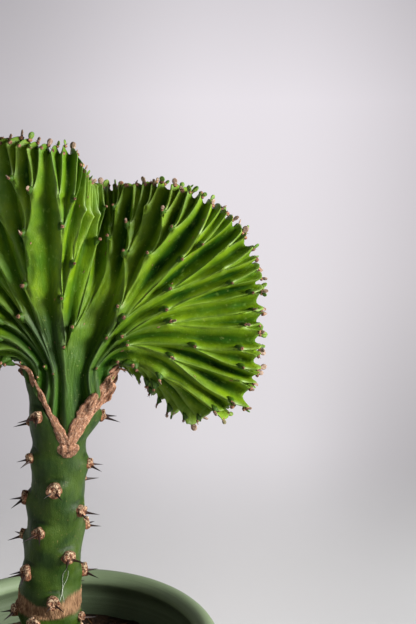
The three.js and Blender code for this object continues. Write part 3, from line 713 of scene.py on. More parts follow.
def half_thickness(u, t):
    v = foot_share(u)
    base = Crest.base_half * np.sqrt(1 - 0.82 * v * v)
    lamina = (Crest.lamina_half - Crest.taper * t) * (1 - 0.5 * np.abs(v) ** 5)
    near_rim = np.maximum(0, (t - 1 + Crest.rim_round) / Crest.rim_round)
    end = np.clip(np.minimum(u, 1 - u) / Crest.end_round, 0, 1)
    ends = np.maximum(0.3, np.sqrt(1 - (1 - end) ** 2))
    return lerp(lerp(base, lamina, smooth(0, 0.45, t)), Crest.rim_half, near_rim ** 2) * ends


# Ribs fork on their way to the rim. Each face has its own tree.
class RibTree:
    def __init__(self, seed, side):
        self.seed, self.side, self.levels = seed, side, Ribs.levels + 1
        count = Ribs.roots * 2 ** Ribs.levels
        i = np.arange(count)
        ends = (i + 0.5 + 0.4 * (chance(seed + i) - 0.5)) / count
        self.groups = [ends.reshape(-1, 2 ** (Ribs.levels - k)).mean(axis=1) for k in range(self.levels)]
        for level, amount, shift in ((0, 0.42, 61), (1, 0.14, 71)):
            key = seed + shift + np.arange(len(self.groups[level]))
            self.groups[level] += amount / Ribs.roots * (chance(key) - 0.5)
        split = (0.21 + 0.08 * chance(seed + 0.5 + i)) / count
        self.groups.append(np.stack([ends - split, ends + split], 1).ravel())
        self.count = 2 * count
        n = np.arange(self.count)
        times = []
        for level, (first, span, _) in enumerate(FORKS, 1):
            parents = np.arange(Ribs.roots * 2 ** (level - 1))
            early = EARLY[level - 1] * smooth(0.3, 0.2, (parents + 0.5) / len(parents))
            forks = np.minimum(first - early + span * chance(seed + 100 * level + parents), 0.98)
            times.append(forks[n >> (self.levels - level + 1)])
        self.times = np.stack(times)  # where along the way each rib has each of its forks

    def lines(self, t):
        """Where the ribs run at t, as shares along the rim."""
        n = np.arange(self.count)
        at = self.groups[0][n >> self.levels].copy()
        for level in range(1, self.levels + 1):
            child = n >> (self.levels - level)
            opened = np.clip((t - self.times[level - 1]) / FORKS[level - 1][2], 0, 1)
            at += (self.groups[level][child] - self.groups[level - 1][child >> 1]) * (1 - (1 - opened) ** 2)
        return at

    def past(self, t):
        """How far t lies beyond the last tubercle of each rib."""
        gone = t - self.times
        return np.where(gone >= 0, gone, 1).min(axis=0)

    def heights(self, t):
        """The ridges sag between tubercles: a steep drop after one and a slow rise to the next."""
        stops = np.vstack([self.times[0] - 0.17, self.times, np.full(self.count, 1.03)])
        height = np.zeros(self.count)
        for k, (start, stop) in enumerate(zip(stops, stops[1:])):
            span = stop - start
            p = np.clip((t - start) / span, 0, 1)
            sag = Cusp.sag * np.clip(span / 0.2, 0.4, 1.1)
            shape = Cusp.rise - sag * np.sin(np.pi * p ** 0.6) ** 0.85 if k else Cusp.rise * p ** 2
            height = np.where((t >= start) & (t < stop), shape, height)
        return height

    def teeth(self, near, u):
        """How far the ribs stand beyond the rim."""
        tall = 1.1 + 1.3 * chance(near + self.seed)
        return lerp(tall, np.where(near % 3 == 0, 3.4, -0.4), smooth(*Crest.lower_lobe, u))


TREES = [RibTree(7, 1), RibTree(531, -1)]
CUTS = np.array([0, 0.05, 0.14, 0.27, 0.42, 0.58, 0.73, 0.86, 0.95])  # columns from one ridge to the next
MARKS = ("valley", "edge", "reach", "rib", "tip")


def face_row(tree, t):
    """One row of a face: its points, and the marks of each point."""
    lines = np.pad(tree.lines(t), 1, constant_values=(0, 1))
    heights, past = np.pad(tree.heights(t), 1), np.pad(tree.past(t), 1, constant_values=1)
    gaps = len(lines) - 1
    u = np.append(lines[:-1, None] + np.diff(lines)[:, None] * CUTS, 1)
    f = np.append(np.tile(CUTS, gaps), 1)
    k = np.append(np.repeat(np.arange(gaps), len(CUTS)), gaps - 1)
    near = np.where(f < 0.5, k, k + 1)
    gap = np.linalg.norm(np.diff(middle(lines, t), axis=0), axis=1)[k]
    # Valleys between ridges: as deep as the gap allows, shallow in the neck.
    depth = Ribs.deepest * (1 - np.exp(-1.15 * Ribs.depth_share * gap / Ribs.deepest))
    depth = depth * lerp(np.clip(gap / 7, 0.12, 0.8), 1.0, smooth(0.14, 0.42, t))
    depth = depth * lerp(0.85, 1.15, chance(k + 3 * tree.seed))
    from_ridge = np.minimum(f, 1 - f) * gap
    rounding = np.minimum(0.35, 0.12 * gap)
    eased = np.sqrt(from_ridge ** 2 + rounding ** 2) - rounding
    wall = np.clip(1 - eased / np.maximum(0.5 * gap, 1e-6), 0, 1)
    sharp = 1 - wall ** Ribs.profile
    soft = (1 - wall) ** lerp(1.2, 1.45, smooth(0.2, 0.45, t))
    folds = grain(xyz(2.6 * (k + f), 9 * t, 7.0 * tree.side), 1, 9) * np.sin(np.pi * f)
    valley = depth * lerp(soft, sharp, smooth(0.5, 0.95, t))
    valley = valley + np.clip(0.2 * gap, 0, 1.3) * folds * smooth(0.1, 0.3, t)
    # Cusps on the ridges, and soft hollows in the neck.
    height, amount, grown = heights[near], np.clip(gap / 5.0, 0.45, 1), smooth(*Cusp.grows, t)
    half = half_thickness(u, t)
    cusp = height * amount * grown * wall ** Cusp.profile
    ledge = Cusp.ledge * wall * smooth(*Cusp.ledge_grows, t)
    sunk = np.minimum(valley - cusp - ledge, 0.8 * half)
    hollow = np.maximum(grain(xyz(14 * u, 4 * t, 7.0 * tree.side), 1, 23), 0)
    sunk = sunk + 2.2 * hollow * smooth(0.5, 0.3, t) * smooth(0.07, 0.17, t)
    # Teeth where the ridges meet the rim.
    notch = -1.2 - 0.6 * smooth(*Crest.lower_lobe, u)
    tooth = lerp(notch, tree.teeth(near, u), wall ** 2) * smooth(0.9, 1.0, t)
    lean = Cusp.lean * np.maximum(height + Cusp.leaning, 0) * amount * wall ** Cusp.profile * grown
    way = facing(u, t) * tree.side
    points = (middle(u, t) + way * (half - sunk)[:, None] + outward(u, t) * tooth[:, None]
              + sideways(u, t) * lean[:, None])
    points += way * (0.28 * grain(points, 5, 3) + 0.09 * grain(points, 1.6, 4))[:, None]
    # The first mark, valley, sets where the flesh is painted with shade.
    marks = (np.clip(sunk / 4.5, 0, 1) * np.clip(6 / np.maximum(gap, 1), 0.3, 1),
             # The second mark, edge, sets where the flesh is painted with a highlight along the ridge.
             np.exp(-(from_ridge / 0.4) ** 2) * np.clip(gap / 3, 0, 1),
             np.full_like(u, t), 60 * u, np.clip(1 - past[near] / 0.035, 0, 1))
    return points, marks


def crest_body():
    rows = np.concatenate([np.linspace(0.055, Throat.at, 22, endpoint=False),
                           np.linspace(Throat.at, 0.985, 78), [0.993, 1.0]])
    made = [face_row(tree, t) for tree in TREES for t in rows]
    points = [row for row, _ in made]
    marks = [list(column) for column in zip(*(row_marks for _, row_marks in made))]
    count, columns = len(rows), len(points[0])
    faces = grid_faces(count, columns, False) + grid_faces(count, columns, False, count * columns)
    # A rounded rim joins the two faces.
    steps = 4
    way = outward(np.linspace(0, 1, columns), np.ones(columns))
    front_edge, back_edge = points[count - 1], points[-1]
    for f in np.arange(1, steps) / steps:
        points.append(lerp(front_edge, back_edge, f) + way * (0.9 * math.sin(math.pi * f)))
        for values in marks:
            values.append(lerp(values[count - 1], values[2 * count - 1], f))
    ids = np.arange(len(points) * columns).reshape(-1, columns)
    front, back, rim = ids[:count], ids[count:2 * count], ids[2 * count:]

    def sewn(a, b):
        return np.stack([a[:-1], a[1:], b[1:], b[:-1]], 1).tolist()

    over = [front[-1], *rim, back[-1]]
    for a, b in zip(over, over[1:]):
        faces += sewn(a, b)
    # The foot, and the two ends at the horns.
    faces += sewn(front[0], back[0])
    for c in (0, columns - 1):
        faces += sewn(front[:, c], back[:, c])
        faces.append([row[c] for row in over])
    return body("crest_flesh", np.vstack(points), faces, dict(zip(MARKS, map(np.concatenate, marks))))


def on_ridge(tree, n, t):
    """The share along the rim, the place, the up and the ahead of spots on the ribs n of a face."""
    u = np.array([tree.lines(s)[i] for i, s in zip(n, t)])
    rise = np.array([tree.heights(s - 1e-4)[i] for i, s in zip(n, t)])
    up, grown = facing(u, t) * tree.side, smooth(*Cusp.grows, t)
    out = half_thickness(u, t) + rise * grown + Cusp.ledge * smooth(*Cusp.ledge_grows, t) - 0.2
    lean = Cusp.lean * grown * (rise + Cusp.leaning)
    place = middle(u, t) + up * out[:, None] + sideways(u, t) * lean[:, None]
    return u, place, up, outward(u, t)


def face_spot(tree, u, t):
    """A spot on the finished face of the crest, with its normal and the way the ribs run."""
    row, _ = face_row(tree, t)
    way = facing(u, t) * tree.side
    i = int(np.argmin(np.linalg.norm(row - middle(u, t)[0] - way * 4, axis=1)))
    i = min(max(i, 1), len(row) - 2)
    ahead = outward(u, t)[0]
    up = unit(np.cross(row[i + 1] - row[i - 1], ahead))
    return row[i], up * (1 if up @ way > 0 else -1), ahead


# Small shapes to be planted, in millimetres. Most are made of rings.
def hidden(piece):
    bpy.context.collection.objects.unlink(piece)
    return piece


def ringed(name, sides, rings, spot, along=None):
    """A shape whose spot function turns an angle and a ring's numbers into a point."""
    points = [spot(a, *ring) for ring in rings for a in circle(sides)]
    marks = {"along": np.repeat([along(*ring) for ring in rings], sides)} if along else None
    return hidden(body(name, points, capped(len(rings), sides), marks))


def beak_shape():
    """A tubercle: a low beak of flesh that leans to the rim. X runs to the rim and Z stands up."""
    def spot(a, lead, height, long, wide):
        return lead + (1 if math.cos(a) < 0 else 0.55) * long * math.cos(a), wide * math.sin(a), height

    return ringed("beak", 8, [(0.0, -1.5, 3.0, 1.5), (0.1, -0.7, 2.2, 1.2), (0.35, 0.1, 1.35, 0.85),
                              (0.62, 0.75, 0.75, 0.55), (0.78, 1.15, 0.4, 0.38)], spot)


def button_shape():
    """A scar: a small bumpy button."""
    sides = 7

    def spot(a, k, height, radius):
        i = a * sides / (2 * math.pi)
        a += math.pi * (k % 2) / sides
        r = radius * (1 + 0.22 * math.sin(3.1 * i + 1.7 * k))
        return r * math.cos(a), r * math.sin(a), height + 0.08 * math.sin(2.3 * i + k)

    return ringed("button", sides, [(0, -0.5, 0.62), (1, 0.0, 0.72), (2, 0.32, 0.6), (3, 0.5, 0.3)], spot)


def mark_shape():
    """A dried mark: a thin scab, longer along the rib."""
    return ringed("mark", 8, [(-0.3, 1.0), (0.05, 0.95), (0.16, 0.55)],
                  lambda a, height, share: (1.1 * share * math.cos(a), 0.38 * share * math.sin(a), height))


def thorn_shape(name, rings, sides, bend, base):
    """A thorn of length 1 along Z, with a swollen root."""
    def spot(a, f):
        radius = base * ((1 - f) ** 0.9 * 0.55 + 0.45 * (1 - f) * math.exp(-6 * f)) + 0.004
        return radius * math.cos(a) + bend * f * f, radius * math.sin(a), lerp(-0.16, 1, f)

    return ringed(name, sides, [(f,) for f in np.linspace(0, 1, rings)], spot, along=lambda f: f)


def leaflet_shape():
    """A thick spoon-shaped blade along Z, on a short stalk."""
    def spot(a, height, wide, thick):
        cup = 0.18 * (wide * math.cos(a)) ** 2 + 0.03 * height * height
        return thick * math.sin(a) + cup, wide * math.cos(a), height

    rings = [(-0.6, 0.4, 0.36), (0.0, 0.42, 0.34), (0.5, 0.62, 0.34), (1.15, 0.95, 0.36), (1.8, 1.02, 0.32),
             (2.4, 0.78, 0.24), (2.75, 0.3, 0.14)]
    return ringed("leaflet", 8, rings, spot, along=lambda height, *_: max(height, 0) / rings[-1][0])


def crumb_shape():
    sphere = bmesh.new()
    bmesh.ops.create_icosphere(sphere, subdivisions=1, radius=1.0)
    points = np.array([v.co[:] for v in sphere.verts])
    faces = [[v.index for v in f.verts] for f in sphere.faces]
    sphere.free()
    points *= (1 + 0.25 * grain(points, 0.9, 41))[:, None] * [1.0, 0.8, 0.65]
    return hidden(body("crumb", points, faces))


def crest_trim(flesh, scar, thorn, leaf):
    """Tubercles, scars, prongs and leaflets of the crest."""
    beaks, scars, prongs, leaves, marks = [], [], [], [], []

    def seat(rows, has, *columns):
        rows.append([column[has] for column in columns])

    for tree in TREES:
        every, seed = slice(None), tree.seed
        for level in range(1, tree.levels + 1):
            n = np.arange(Ribs.roots * 2 ** (level - 1)) * 2 ** (tree.levels - level + 1)
            t = tree.times[level - 1][n]
            u, place, up, ahead = on_ridge(tree, n, t)
            keep = np.minimum(u, 1 - u) > Crest.bare_face
            if level == tree.levels:
                keep &= chance(n + seed) < 0.75
            n, t, place, up, ahead = (a[keep] for a in (n, t, place, up, ahead))
            size = lerp(0.9, 1.25, chance(n + 900 + seed)) * (1 - 0.1 * (level - 1))
            size = size * lerp(0.55, 1, smooth(0.2, 0.5, t))
            seat(beaks, every, place, up, ahead, size, t)
            lean = unit(up + 0.55 * ahead)
            top = place + (up * 1.15 + ahead * 0.78) * size[:, None]
            seat(scars, every, top, lean, ahead, size, chance(n + 31))
            side = np.cross(up, ahead)
            for way in (-1, 1):
                seat(prongs, chance(n * 3.1 + way + seed) < 0.8, top + lean * 0.3,
                     unit(up + 0.5 * ahead + way * 0.9 * side), side, size, chance(n))
            if level >= 3:
                seat(leaves, chance(n * 1.7 + seed + 5) < (0.22 if level == 3 else 0.4), top + lean * 0.2,
                     unit(ahead + 0.45 * up), up, 0.75 * size, lerp(0.55, 1.0, chance(n + 9)))
        # The teeth of the rim.
        n, u = np.arange(tree.count), tree.lines(1.0)
        keep = np.minimum(u, 1 - u) > Crest.bare_rim
        n, u = n[keep], u[keep]
        one = np.ones_like(u)
        up, ahead = facing(u, one) * tree.side, outward(u, one)
        side = np.cross(up, ahead)
        tooth = middle(u, one) + up * Crest.rim_half + ahead * (tree.teeth(n + 1, u) - 0.2)[:, None]
        aim = unit(ahead + 0.35 * up)
        seat(scars, every, tooth + aim * 0.25, aim, up, lerp(0.85, 1.35, chance(n + 77)),
             chance(n + 12 + seed))
        for way in (-1, 1):
            seat(prongs, chance(n * 2.3 + way + seed) < 0.6, tooth + aim * 0.4,
                 unit(ahead + 0.3 * up + way * 0.9 * side), side, one, chance(n))
        wander = (chance(n * 5.3 + seed) - 0.5)[:, None] * side * 0.9
        aim = unit(ahead + wander + chance(n * 7.1 + seed)[:, None] * up * 0.8)
        seat(leaves, chance(n * 1.9 + seed) < 0.62, tooth + aim * 0.2, aim, up,
             lerp(0.7, 1.12, chance(n + 5)), chance(n + 41 + seed))

    for tree, count in zip(TREES, (70, 50)):
        key = np.arange(count) + 3 * tree.seed
        u, t = lerp(0.03, 0.97, chance(key * 1.7)), lerp(0.3, 0.97, chance(key * 2.9) ** 0.6)
        spots = map(np.array, zip(*(face_spot(tree, a, b) for a, b in zip(u, t))))
        marks.append((*spots, lerp(0.45, 1.0, chance(key * 5.1) ** 2), chance(key * 3.3)))

    plant("crest_tubercles", beak_shape(), beaks, "crest", flesh, uneven=0.08, seed=3)
    plant("crest_marks", mark_shape(), marks, "crest", scar, uneven=0.2, spin=0.5, seed=7)
    plant("crest_scars", button_shape(), scars, "crest", scar, uneven=0.15, spin=3.1, seed=4)
    plant("crest_prongs", thorn_shape("prong", 4, 5, 0.1, 0.2), prongs, "crest", thorn, size=1.25,
          uneven=0.25, seed=5)
    plant("crest_leaflets", leaflet_shape(), leaves, "crest", leaf, uneven=0.2, spin=1.2, seed=6)


# The rootstock.
def stem_row(z):
    """The stem's centre in x, half width and half depth at z."""
    return [np.interp(z, STEM[:, 0], STEM[:, k]) for k in (1, 2, 3)]


def graft_line(x):
    """The height of the V's middle line at x."""
    right, left = (APEX[1] + (tip[1] - APEX[1]) * (x - APEX[0]) / (tip[0] - APEX[0])
                   for tip in (RIGHT_TIP, LEFT_TIP))
    return np.where(x > APEX[0], right, left)


def leaf_scars():
    """The angle, the height and a key of each leaf scar: a spiral, and a broad scar outside it."""
    k = np.arange(Scar.lowest, Scar.highest + 1)
    angle = np.radians(Scar.first_angle + Scar.turn * k)
    z = Scar.first_height + Scar.rise * k
    cx, wide, _ = stem_row(z)
    under_graft = z <= graft_line(cx + wide * np.sin(angle)) - Scar.clear_graft
    keep = (z >= Soil.top + Scar.clear_soil) & under_graft
    return np.vstack([xyz(angle, z, k - Scar.lowest + 16)[keep], [math.radians(-22), 126.6, 90]])


SCARS = leaf_scars()


def stem_point(angle, z, grow=0.0, bumpy=True):
    """The stem's surface at angles from the front, with a swelling under each scar."""
    angle, z = np.broadcast_arrays(np.asarray(angle, float), np.asarray(z, float))
    cx, wide, deep = stem_row(z)
    swell = np.zeros(angle.shape)
    for at, height, _ in SCARS:
        across, up = apart(angle, at) * wide, z - height
        reach = np.where(up > 0, Swell.above, Swell.below)
        swell = np.maximum(swell, Swell.out * np.exp(-((across / Swell.wide) ** 2) / 2 - (up / reach) ** 2))
    out = grow + (swell if bumpy else 0)
    return xyz(cx + (wide + out) * np.sin(angle), -(deep + out) * np.cos(angle), z)


def stock_body():
    columns, rows = 132, 186
    angle = circle(columns)
    low, high = np.full(columns, 190.0), np.full(columns, 238.0)
    for _ in range(40):  # halves the range in which the stem meets the V
        half = (low + high) / 2
        cx, wide, _ = stem_row(half)
        under = half < graft_line(cx + wide * np.sin(angle)) - 0.8
        low, high = np.where(under, half, low), np.where(under, high, half)
    z = STOCK_FOOT + (low - STOCK_FOOT) * np.linspace(0, 1, rows)[:, None]
    angles = np.broadcast_to(angle, z.shape)
    points = stem_point(angles, z)
    # A wrinkled corky ring low on the stem, and a shaded fold above each scar.
    dip = 2.2 * np.exp(-(apart(angles, -0.12) / 0.6) ** 2)
    ring = (smooth(127.4, 128.6, z + 0.9 * grain(points, 4, 9))
            * smooth(136.2, 135.2, z + dip + 0.8 * grain(points, 3, 3)))
    wrinkle = 0.5 * np.abs(np.sin(21 * angles + 2.4 * grain(points, 4, 5)))
    out = 0.22 * grain(points, 7, 1) + 0.1 * grain(points, 2.2, 2) + ring * (0.6 - wrinkle)
    fold, shade = np.zeros(z.shape), np.zeros(z.shape)
    for at, height, _ in SCARS:
        across = apart(angles, at) * 11
        up = z - height - 3.4 + 0.04 * across ** 2
        fold = np.maximum(fold, 0.85 * np.exp(-(across / 3.4) ** 2 - (up / 0.8) ** 2))
        shade = np.maximum(shade, np.exp(-(across / 3.4) ** 2 - (up / 0.75) ** 2))
    points = points + xyz(np.sin(angles), -np.cos(angles), 0) * (out - fold)[..., None]
    faces = grid_faces(rows, columns) + [list(range(columns))]
    # The V's two slopes join the front of the top edge to the back.
    half, last = columns // 2, (rows - 1) * columns
    front = [(-i) % columns for i in range(columns // 4, -columns // 4 - 1, -1)]
    for a, b in zip(front[:-1], front[1:]):
        quad = [last + a, last + b, last + (half - b) % columns, last + (half - a) % columns]
        faces.append(list(dict.fromkeys(quad)))
    cork = np.clip(ring + smooth(101, 97, z), 0, 1)
    return body("stock_stem", points.reshape(-1, 3), faces, {"cork": cork.ravel(), "shade": shade.ravel()})


def scar_frames():
    """The way out, the way aside and the seat of each scar."""
    angle, z, _ = SCARS.T
    way, side = xyz(np.sin(angle), -np.cos(angle), 0.12), xyz(np.cos(angle), np.sin(angle), 0)
    return way, side, stem_point(angle, z)


def stem_pads(finish):
    """Corky pads: uneven domes whose roots are sunk in the skin."""
    rings, columns = 13, 26
    ring, b = np.meshgrid(np.arange(rings) / (rings - 1), circle(columns), indexing="ij")
    ring, b = ring.ravel(), b.ravel()
    a = math.pi * 0.5 * ring
    flat = np.cos(a) ** 0.6
    # The upper mark is high on the top side of each pad, where the cork is painted paler as lit from above.
    upper = 0.5 + 0.5 * np.cos(a) * np.sin(b) - 0.5 * (ring < 0.24)
    parts = []
    for way, side, seat, key in zip(*scar_frames(), SCARS[:, 2]):
        wide = Scar.radius * lerp(0.78, 1.12, chance(key * 1.3))
        tall = wide * lerp(0.82, 1.15, chance(key * 2.1))
        out = Scar.out + 0.1 + 0.6 * chance(key * 3.7)
        lift = out * (np.sin(a) ** 0.75 - 0.35 * np.sin(a) ** 12) - 1.3 * (1 - np.minimum(1, 3 * ring))
        pad = (side * (wide * flat * np.cos(b))[:, None] + way * lift[:, None]
               + np.cross(side, -way) * (tall * flat * np.sin(b))[:, None])
        points = seat + pad
        lumps = 0.42 * grain(points, 1.9, 7) + 0.26 * grain(points, 0.9, 8) + 0.1 * grain(points, 0.4, 9)
        parts.append((points + unit(pad + 1e-6) * lumps[:, None], capped(rings, columns), {"upper": upper}))
    return settle(body("stem_pads", *joined(parts)), "rootstock", finish)


def stem_thorns(finish):
    """Two thorns on each scar, one to each hand."""
    way, side, seat = scar_frames()
    keys, seats = SCARS[:, 2], []
    for hand in (-1, 1):
        length = Spine.length * (0.75 + 0.4 * chance(keys * 2 + hand))
        yaw = np.radians(Spine.spread * (0.7 + 0.5 * chance(keys * 5 + hand)))
        aim = way * [1, 1, 0] * np.cos(yaw)[:, None] + side * (hand * np.sin(yaw))[:, None]
        aim[:, 2] = -np.tan(np.radians(Spine.droop * (0.4 + 1.2 * chance(keys * 7 + hand))))
        root = seat + side * hand * Spine.apart + way * (Scar.out - 0.1) - [0, 0, Spine.below]
        seats.append((root, unit(aim), side, length, np.ones(len(keys))))
    return plant("stem_thorns", thorn_shape("thorn", 8, 9, 0.06, 0.18), seats, "rootstock", finish, seed=8)


def sap_trickle(finish):
    """A dried trickle of sap on the front of the stem."""
    paths = []
    for shift, swing, start, stop in ((0.0, 0.055, 148.5, 133.5), (0.09, -0.05, 147.0, 134.5)):
        z = np.linspace(start, stop, 26)
        angle = math.radians(34) + shift + swing * np.sin(0.55 * (z - start)) - 0.012 * (start - z)
        path = stem_point(angle, z, 0.1)
        paths.append(path + 0.12 * xyz(grain(path, 1.2, 51), 0, grain(path, 1.2, 52)))
    return strands("sap_trickle", paths, 0.09, 6, "rootstock", finish)


# The graft's callus and bark.
def ball(rings, columns):
    """The angles from the pole and round it on a ball, whose poles are left to caps."""
    a, b = np.meshgrid(np.pi * (np.arange(rings) + 0.5) / rings, circle(columns), indexing="ij")
    return a.ravel(), b.ravel()


def callus_v():
    """Cork along the V, from horn to horn and right through the stem."""
    def line(left, foot, right):
        middle_of_foot = len(foot) // 2
        start = np.vstack([LEFT_TIP + left, APEX + foot[:middle_of_foot + 1]])
        end = np.vstack([APEX + foot[middle_of_foot:], RIGHT_TIP + right])
        return np.vstack([resampled(start, 60)[:-1], resampled(end, 61)])

    lower = line([[-1.6, -0.2], [1.0, -3.2], [7.4, -13.4]], [[-2.6, -0.8], [0, -2.6], [2.6, -0.6]],
                 [[-4.6, -12], [0.4, -3.6], [2.2, -0.6]])
    upper = line([[-1.2, 1.2], [0.8, 0.8]], [[0.3, 3.4]], [[-1, 0.6], [1.6, 1.9]])
    across, deep = np.linspace(0, 1, 9), np.linspace(0, 1, 7)[1:-1, None]
    loops = []
    for low, high in zip(lower, upper):
        x, z = (low + (high - low) * across[:, None]).T
        cx, wide, half = stem_row(z)
        inside = np.clip((x - cx) / (wide + 0.9), -0.995, 0.995)
        depth = (half + 0.2) * np.sqrt(1 - inside ** 2) + 0.35 * np.sin(np.pi * across) - 0.25
        front = xyz(x, -depth, z)
        back = front[::-1] * [1, -1, 1]
        over, under = lerp(front[-1], back[0], deep), lerp(back[-1], front[0], deep)
        loops.append(np.vstack([front, over, back, under]))
    size = len(loops[0])
    points = np.vstack(loops)
    bumps = 0.5 * grain(points, 2.6, 11) + 0.25 * grain(points, 1.1, 12)
    points += xyz(0, np.sign(points[:, 1]) * bumps, 0)
    points += 0.3 * xyz(grain(points, 1.8, 13), 0, grain(points, 1.8, 14))
    return points, capped(len(loops), size), {}


def callus_knob():
    """The knob at the foot of the V, a cup of cork with an uneven lip."""
    seat = stem_point(math.radians(Knob.angle), APEX[1] - Knob.drop - 1.2, 0, False)
    rings, columns, tall = 22, 44, 0.74
    a, b = ball(rings, columns)
    knob = xyz(np.sin(a) * np.cos(b), -0.5 * np.cos(a), tall * np.sin(a) * np.sin(b))
    knob[:, 0] *= 1 + 0.22 * np.clip(knob[:, 2] / tall, -1, 1)
    knob[:, 2] -= 0.25 * np.exp(-(knob[:, 0] / 0.3) ** 2) * (knob[:, 2] > 0)
    lumps = 0.1 * grain(knob, 0.42, 15) + 0.09 * grain(knob, 0.2, 16) + 0.05 * grain(knob, 0.1, 17)
    return seat + knob * Knob.radius * (1 + lumps)[:, None], capped(rings, columns), {}


def callus_body():
    points, faces, _ = joined([callus_v(), callus_knob()])
    return body("graft_cork", points, faces, {"run": points[:, 2], "across": 0.4 * points[:, 0]})


def surface_depth(x, z, side, flesh):
    """How far the crest or the stem reaches to a side at x and z."""
    cx, wide, deep = stem_row(z)
    stem = deep * np.sqrt(1 - np.clip((x - cx) / wide, -1, 1) ** 2)
    near = flesh[(flesh[:, 0] - x) ** 2 + (flesh[:, 2] - z) ** 2 < 1.3 ** 2]
    return max(stem, np.max(near[:, 1] * side) if len(near) else 0)


def bark_strip(rows, side, flesh, lift, curl, seed):
    """A plank of bark along x, z and width, laid on the flesh with ragged edges."""
    count, cells = 90, 17
    line = spline(rows, np.linspace(0, 1, count))
    way = unit(np.gradient(line[:, :2], axis=0))
    run = run_of(line[:, :2])[:, None]
    w = np.linspace(-1, 1, cells)
    ragged = xyz(run[:, 0], 0, 0)
    left = 1 + 0.3 * grain(ragged, 2.1, seed + 1) + 0.16 * grain(ragged, 0.7, seed + 2)
    right = 1 + 0.3 * grain(ragged, 2.6, seed + 3) + 0.16 * grain(ragged, 0.8, seed + 4)
    reach = line[:, 2:3] / 2 * np.where(w < 0, left[:, None], right[:, None]) * w
    x, z = line[:, 0:1] + way[:, 1:2] * reach, line[:, 1:2] - way[:, 0:1] * reach
    # The strip lies on the surface below it, evened out along and across.
    depth = np.array([[surface_depth(a, b, side, flesh) for a, b in zip(rx, rz)] for rx, rz in zip(x, z)])
    padded = np.pad(depth, ((4, 4), (0, 0)), mode="edge")
    depth = np.stack([np.convolve(column, np.ones(9) / 9, "valid") for column in padded.T], 1)
    depth = lerp(depth, depth.mean(axis=1, keepdims=True), 0.5)
    along = xyz(reach, run * 0.22, 0)
    streak = 0.16 * grain(along, 0.5, seed + 5) + 0.2 * grain(along, 1.3, seed + 6)
    thick = np.minimum(1.0, 0.5 * line[:, 2:3]) * np.sqrt(np.maximum(1 - w ** 4, 0.02))
    away = curl * ((w + 1) / 2) ** 2 * np.sin(np.pi * np.clip(run / run[-1] * 1.25, 0, 1))
    upper = xyz(x + 0.35 * away, side * (depth + lift + 0.75 * thick + streak * thick + away), z)
    lower = xyz(x + 0.35 * away, side * (depth + lift - 0.6 * thick - 0.25 + away), z)
    marks = {"run": np.repeat(run, 2 * cells), "across": np.concatenate([reach, reach[:, ::-1]], 1).ravel()}
    return np.concatenate([upper, lower[:, ::-1]], 1).reshape(-1, 3), capped(count, 2 * cells), marks


def graft_bark(finish, flesh):
    """Bark along both arms of the V, on the front and the back."""
    strips = ((LEFT_BARK, 0.1, 0.0, 3), (RIGHT_BARK, 0.35, 0.3, 5), (FLAP_BARK, 0.0, 2.2, 8))
    parts = [bark_strip(rows, side, flesh, lift, curl, seed + 20 * (side > 0))
             for side in (-1, 1) for rows, lift, curl, seed in strips]
    return settle(body("graft_bark", *joined(parts)), "graft_callus", finish)


def horn_cap(finish):
    """The dried tip of the rootstock's left horn."""
    rings, columns = 14, 24
    a, b = ball(rings, columns)
    cap = xyz(-np.cos(a), 0.85 * np.sin(a) * np.cos(b), 0.5 * np.sin(a) * np.sin(b))
    cap *= (1 + 0.16 * grain(cap, 0.5, 61) + 0.08 * grain(cap, 0.22, 62))[:, None]
    cap = cap * [2.5, 4.6, 2.6] + [-11.0, -0.6, 225.2]
    cap[:, 2] -= 0.35 * (cap[:, 0] + 11)
    marks = {"run": cap[:, 2], "across": cap[:, 0]}
    return settle(body("horn_cap", cap, capped(rings, columns), marks), "rootstock", finish)


# The pot. Its profile is a row of radii and heights, from under the foot over the rim to the floor.
WALL_ROWS, RIM_ROWS, INSIDE_ROWS = 23, 26, 40


def pot_profile():
    top, lip, under = Pot.height, Pot.rim_radius - Pot.rim_width, Pot.height - Pot.rim_drop
    inner_foot = Pot.base_radius - Pot.wall
    half, middle_of_rim = Pot.rim_width / 2, (Pot.rim_radius + lip) / 2
    base = (Pot.base_radius, Pot.edge)
    rows = [(0, 0), (Pot.recess_radius, 0), (Pot.recess_radius + 1, Pot.recess),
            (Pot.foot_radius - 1, Pot.recess), (Pot.foot_radius, 0.2), (Pot.foot_radius + 0.4, 0),
            (Pot.base_radius - Pot.edge, 0), (Pot.base_radius - 0.4, 0.4), base]
    rows += [*np.linspace(base, (Pot.rim_radius - Pot.under_rim, under - Pot.edge), WALL_ROWS + 1)[1:]]
    rows += [(Pot.rim_radius - 2.4, under - 0.9), (Pot.rim_radius - Pot.edge, under)]
    rows += [(middle_of_rim + half * math.cos(a), top - half + half * math.sin(a))
             for a in np.radians(np.linspace(-12, 180, RIM_ROWS))]
    rows += [(lip + 0.08, top - half - 0.8), (lip + 0.5, top - half - Pot.edge - 0.6)]
    rows += [*np.linspace((lip + Pot.lip_step, top - Pot.lip_depth),
                          (inner_foot + 1, Pot.floor + Pot.corner), INSIDE_ROWS)]
    rows += [(inner_foot - 0.6, Pot.floor + 0.8), (inner_foot + 1 - Pot.corner, Pot.floor), (0, Pot.floor)]
    return rows


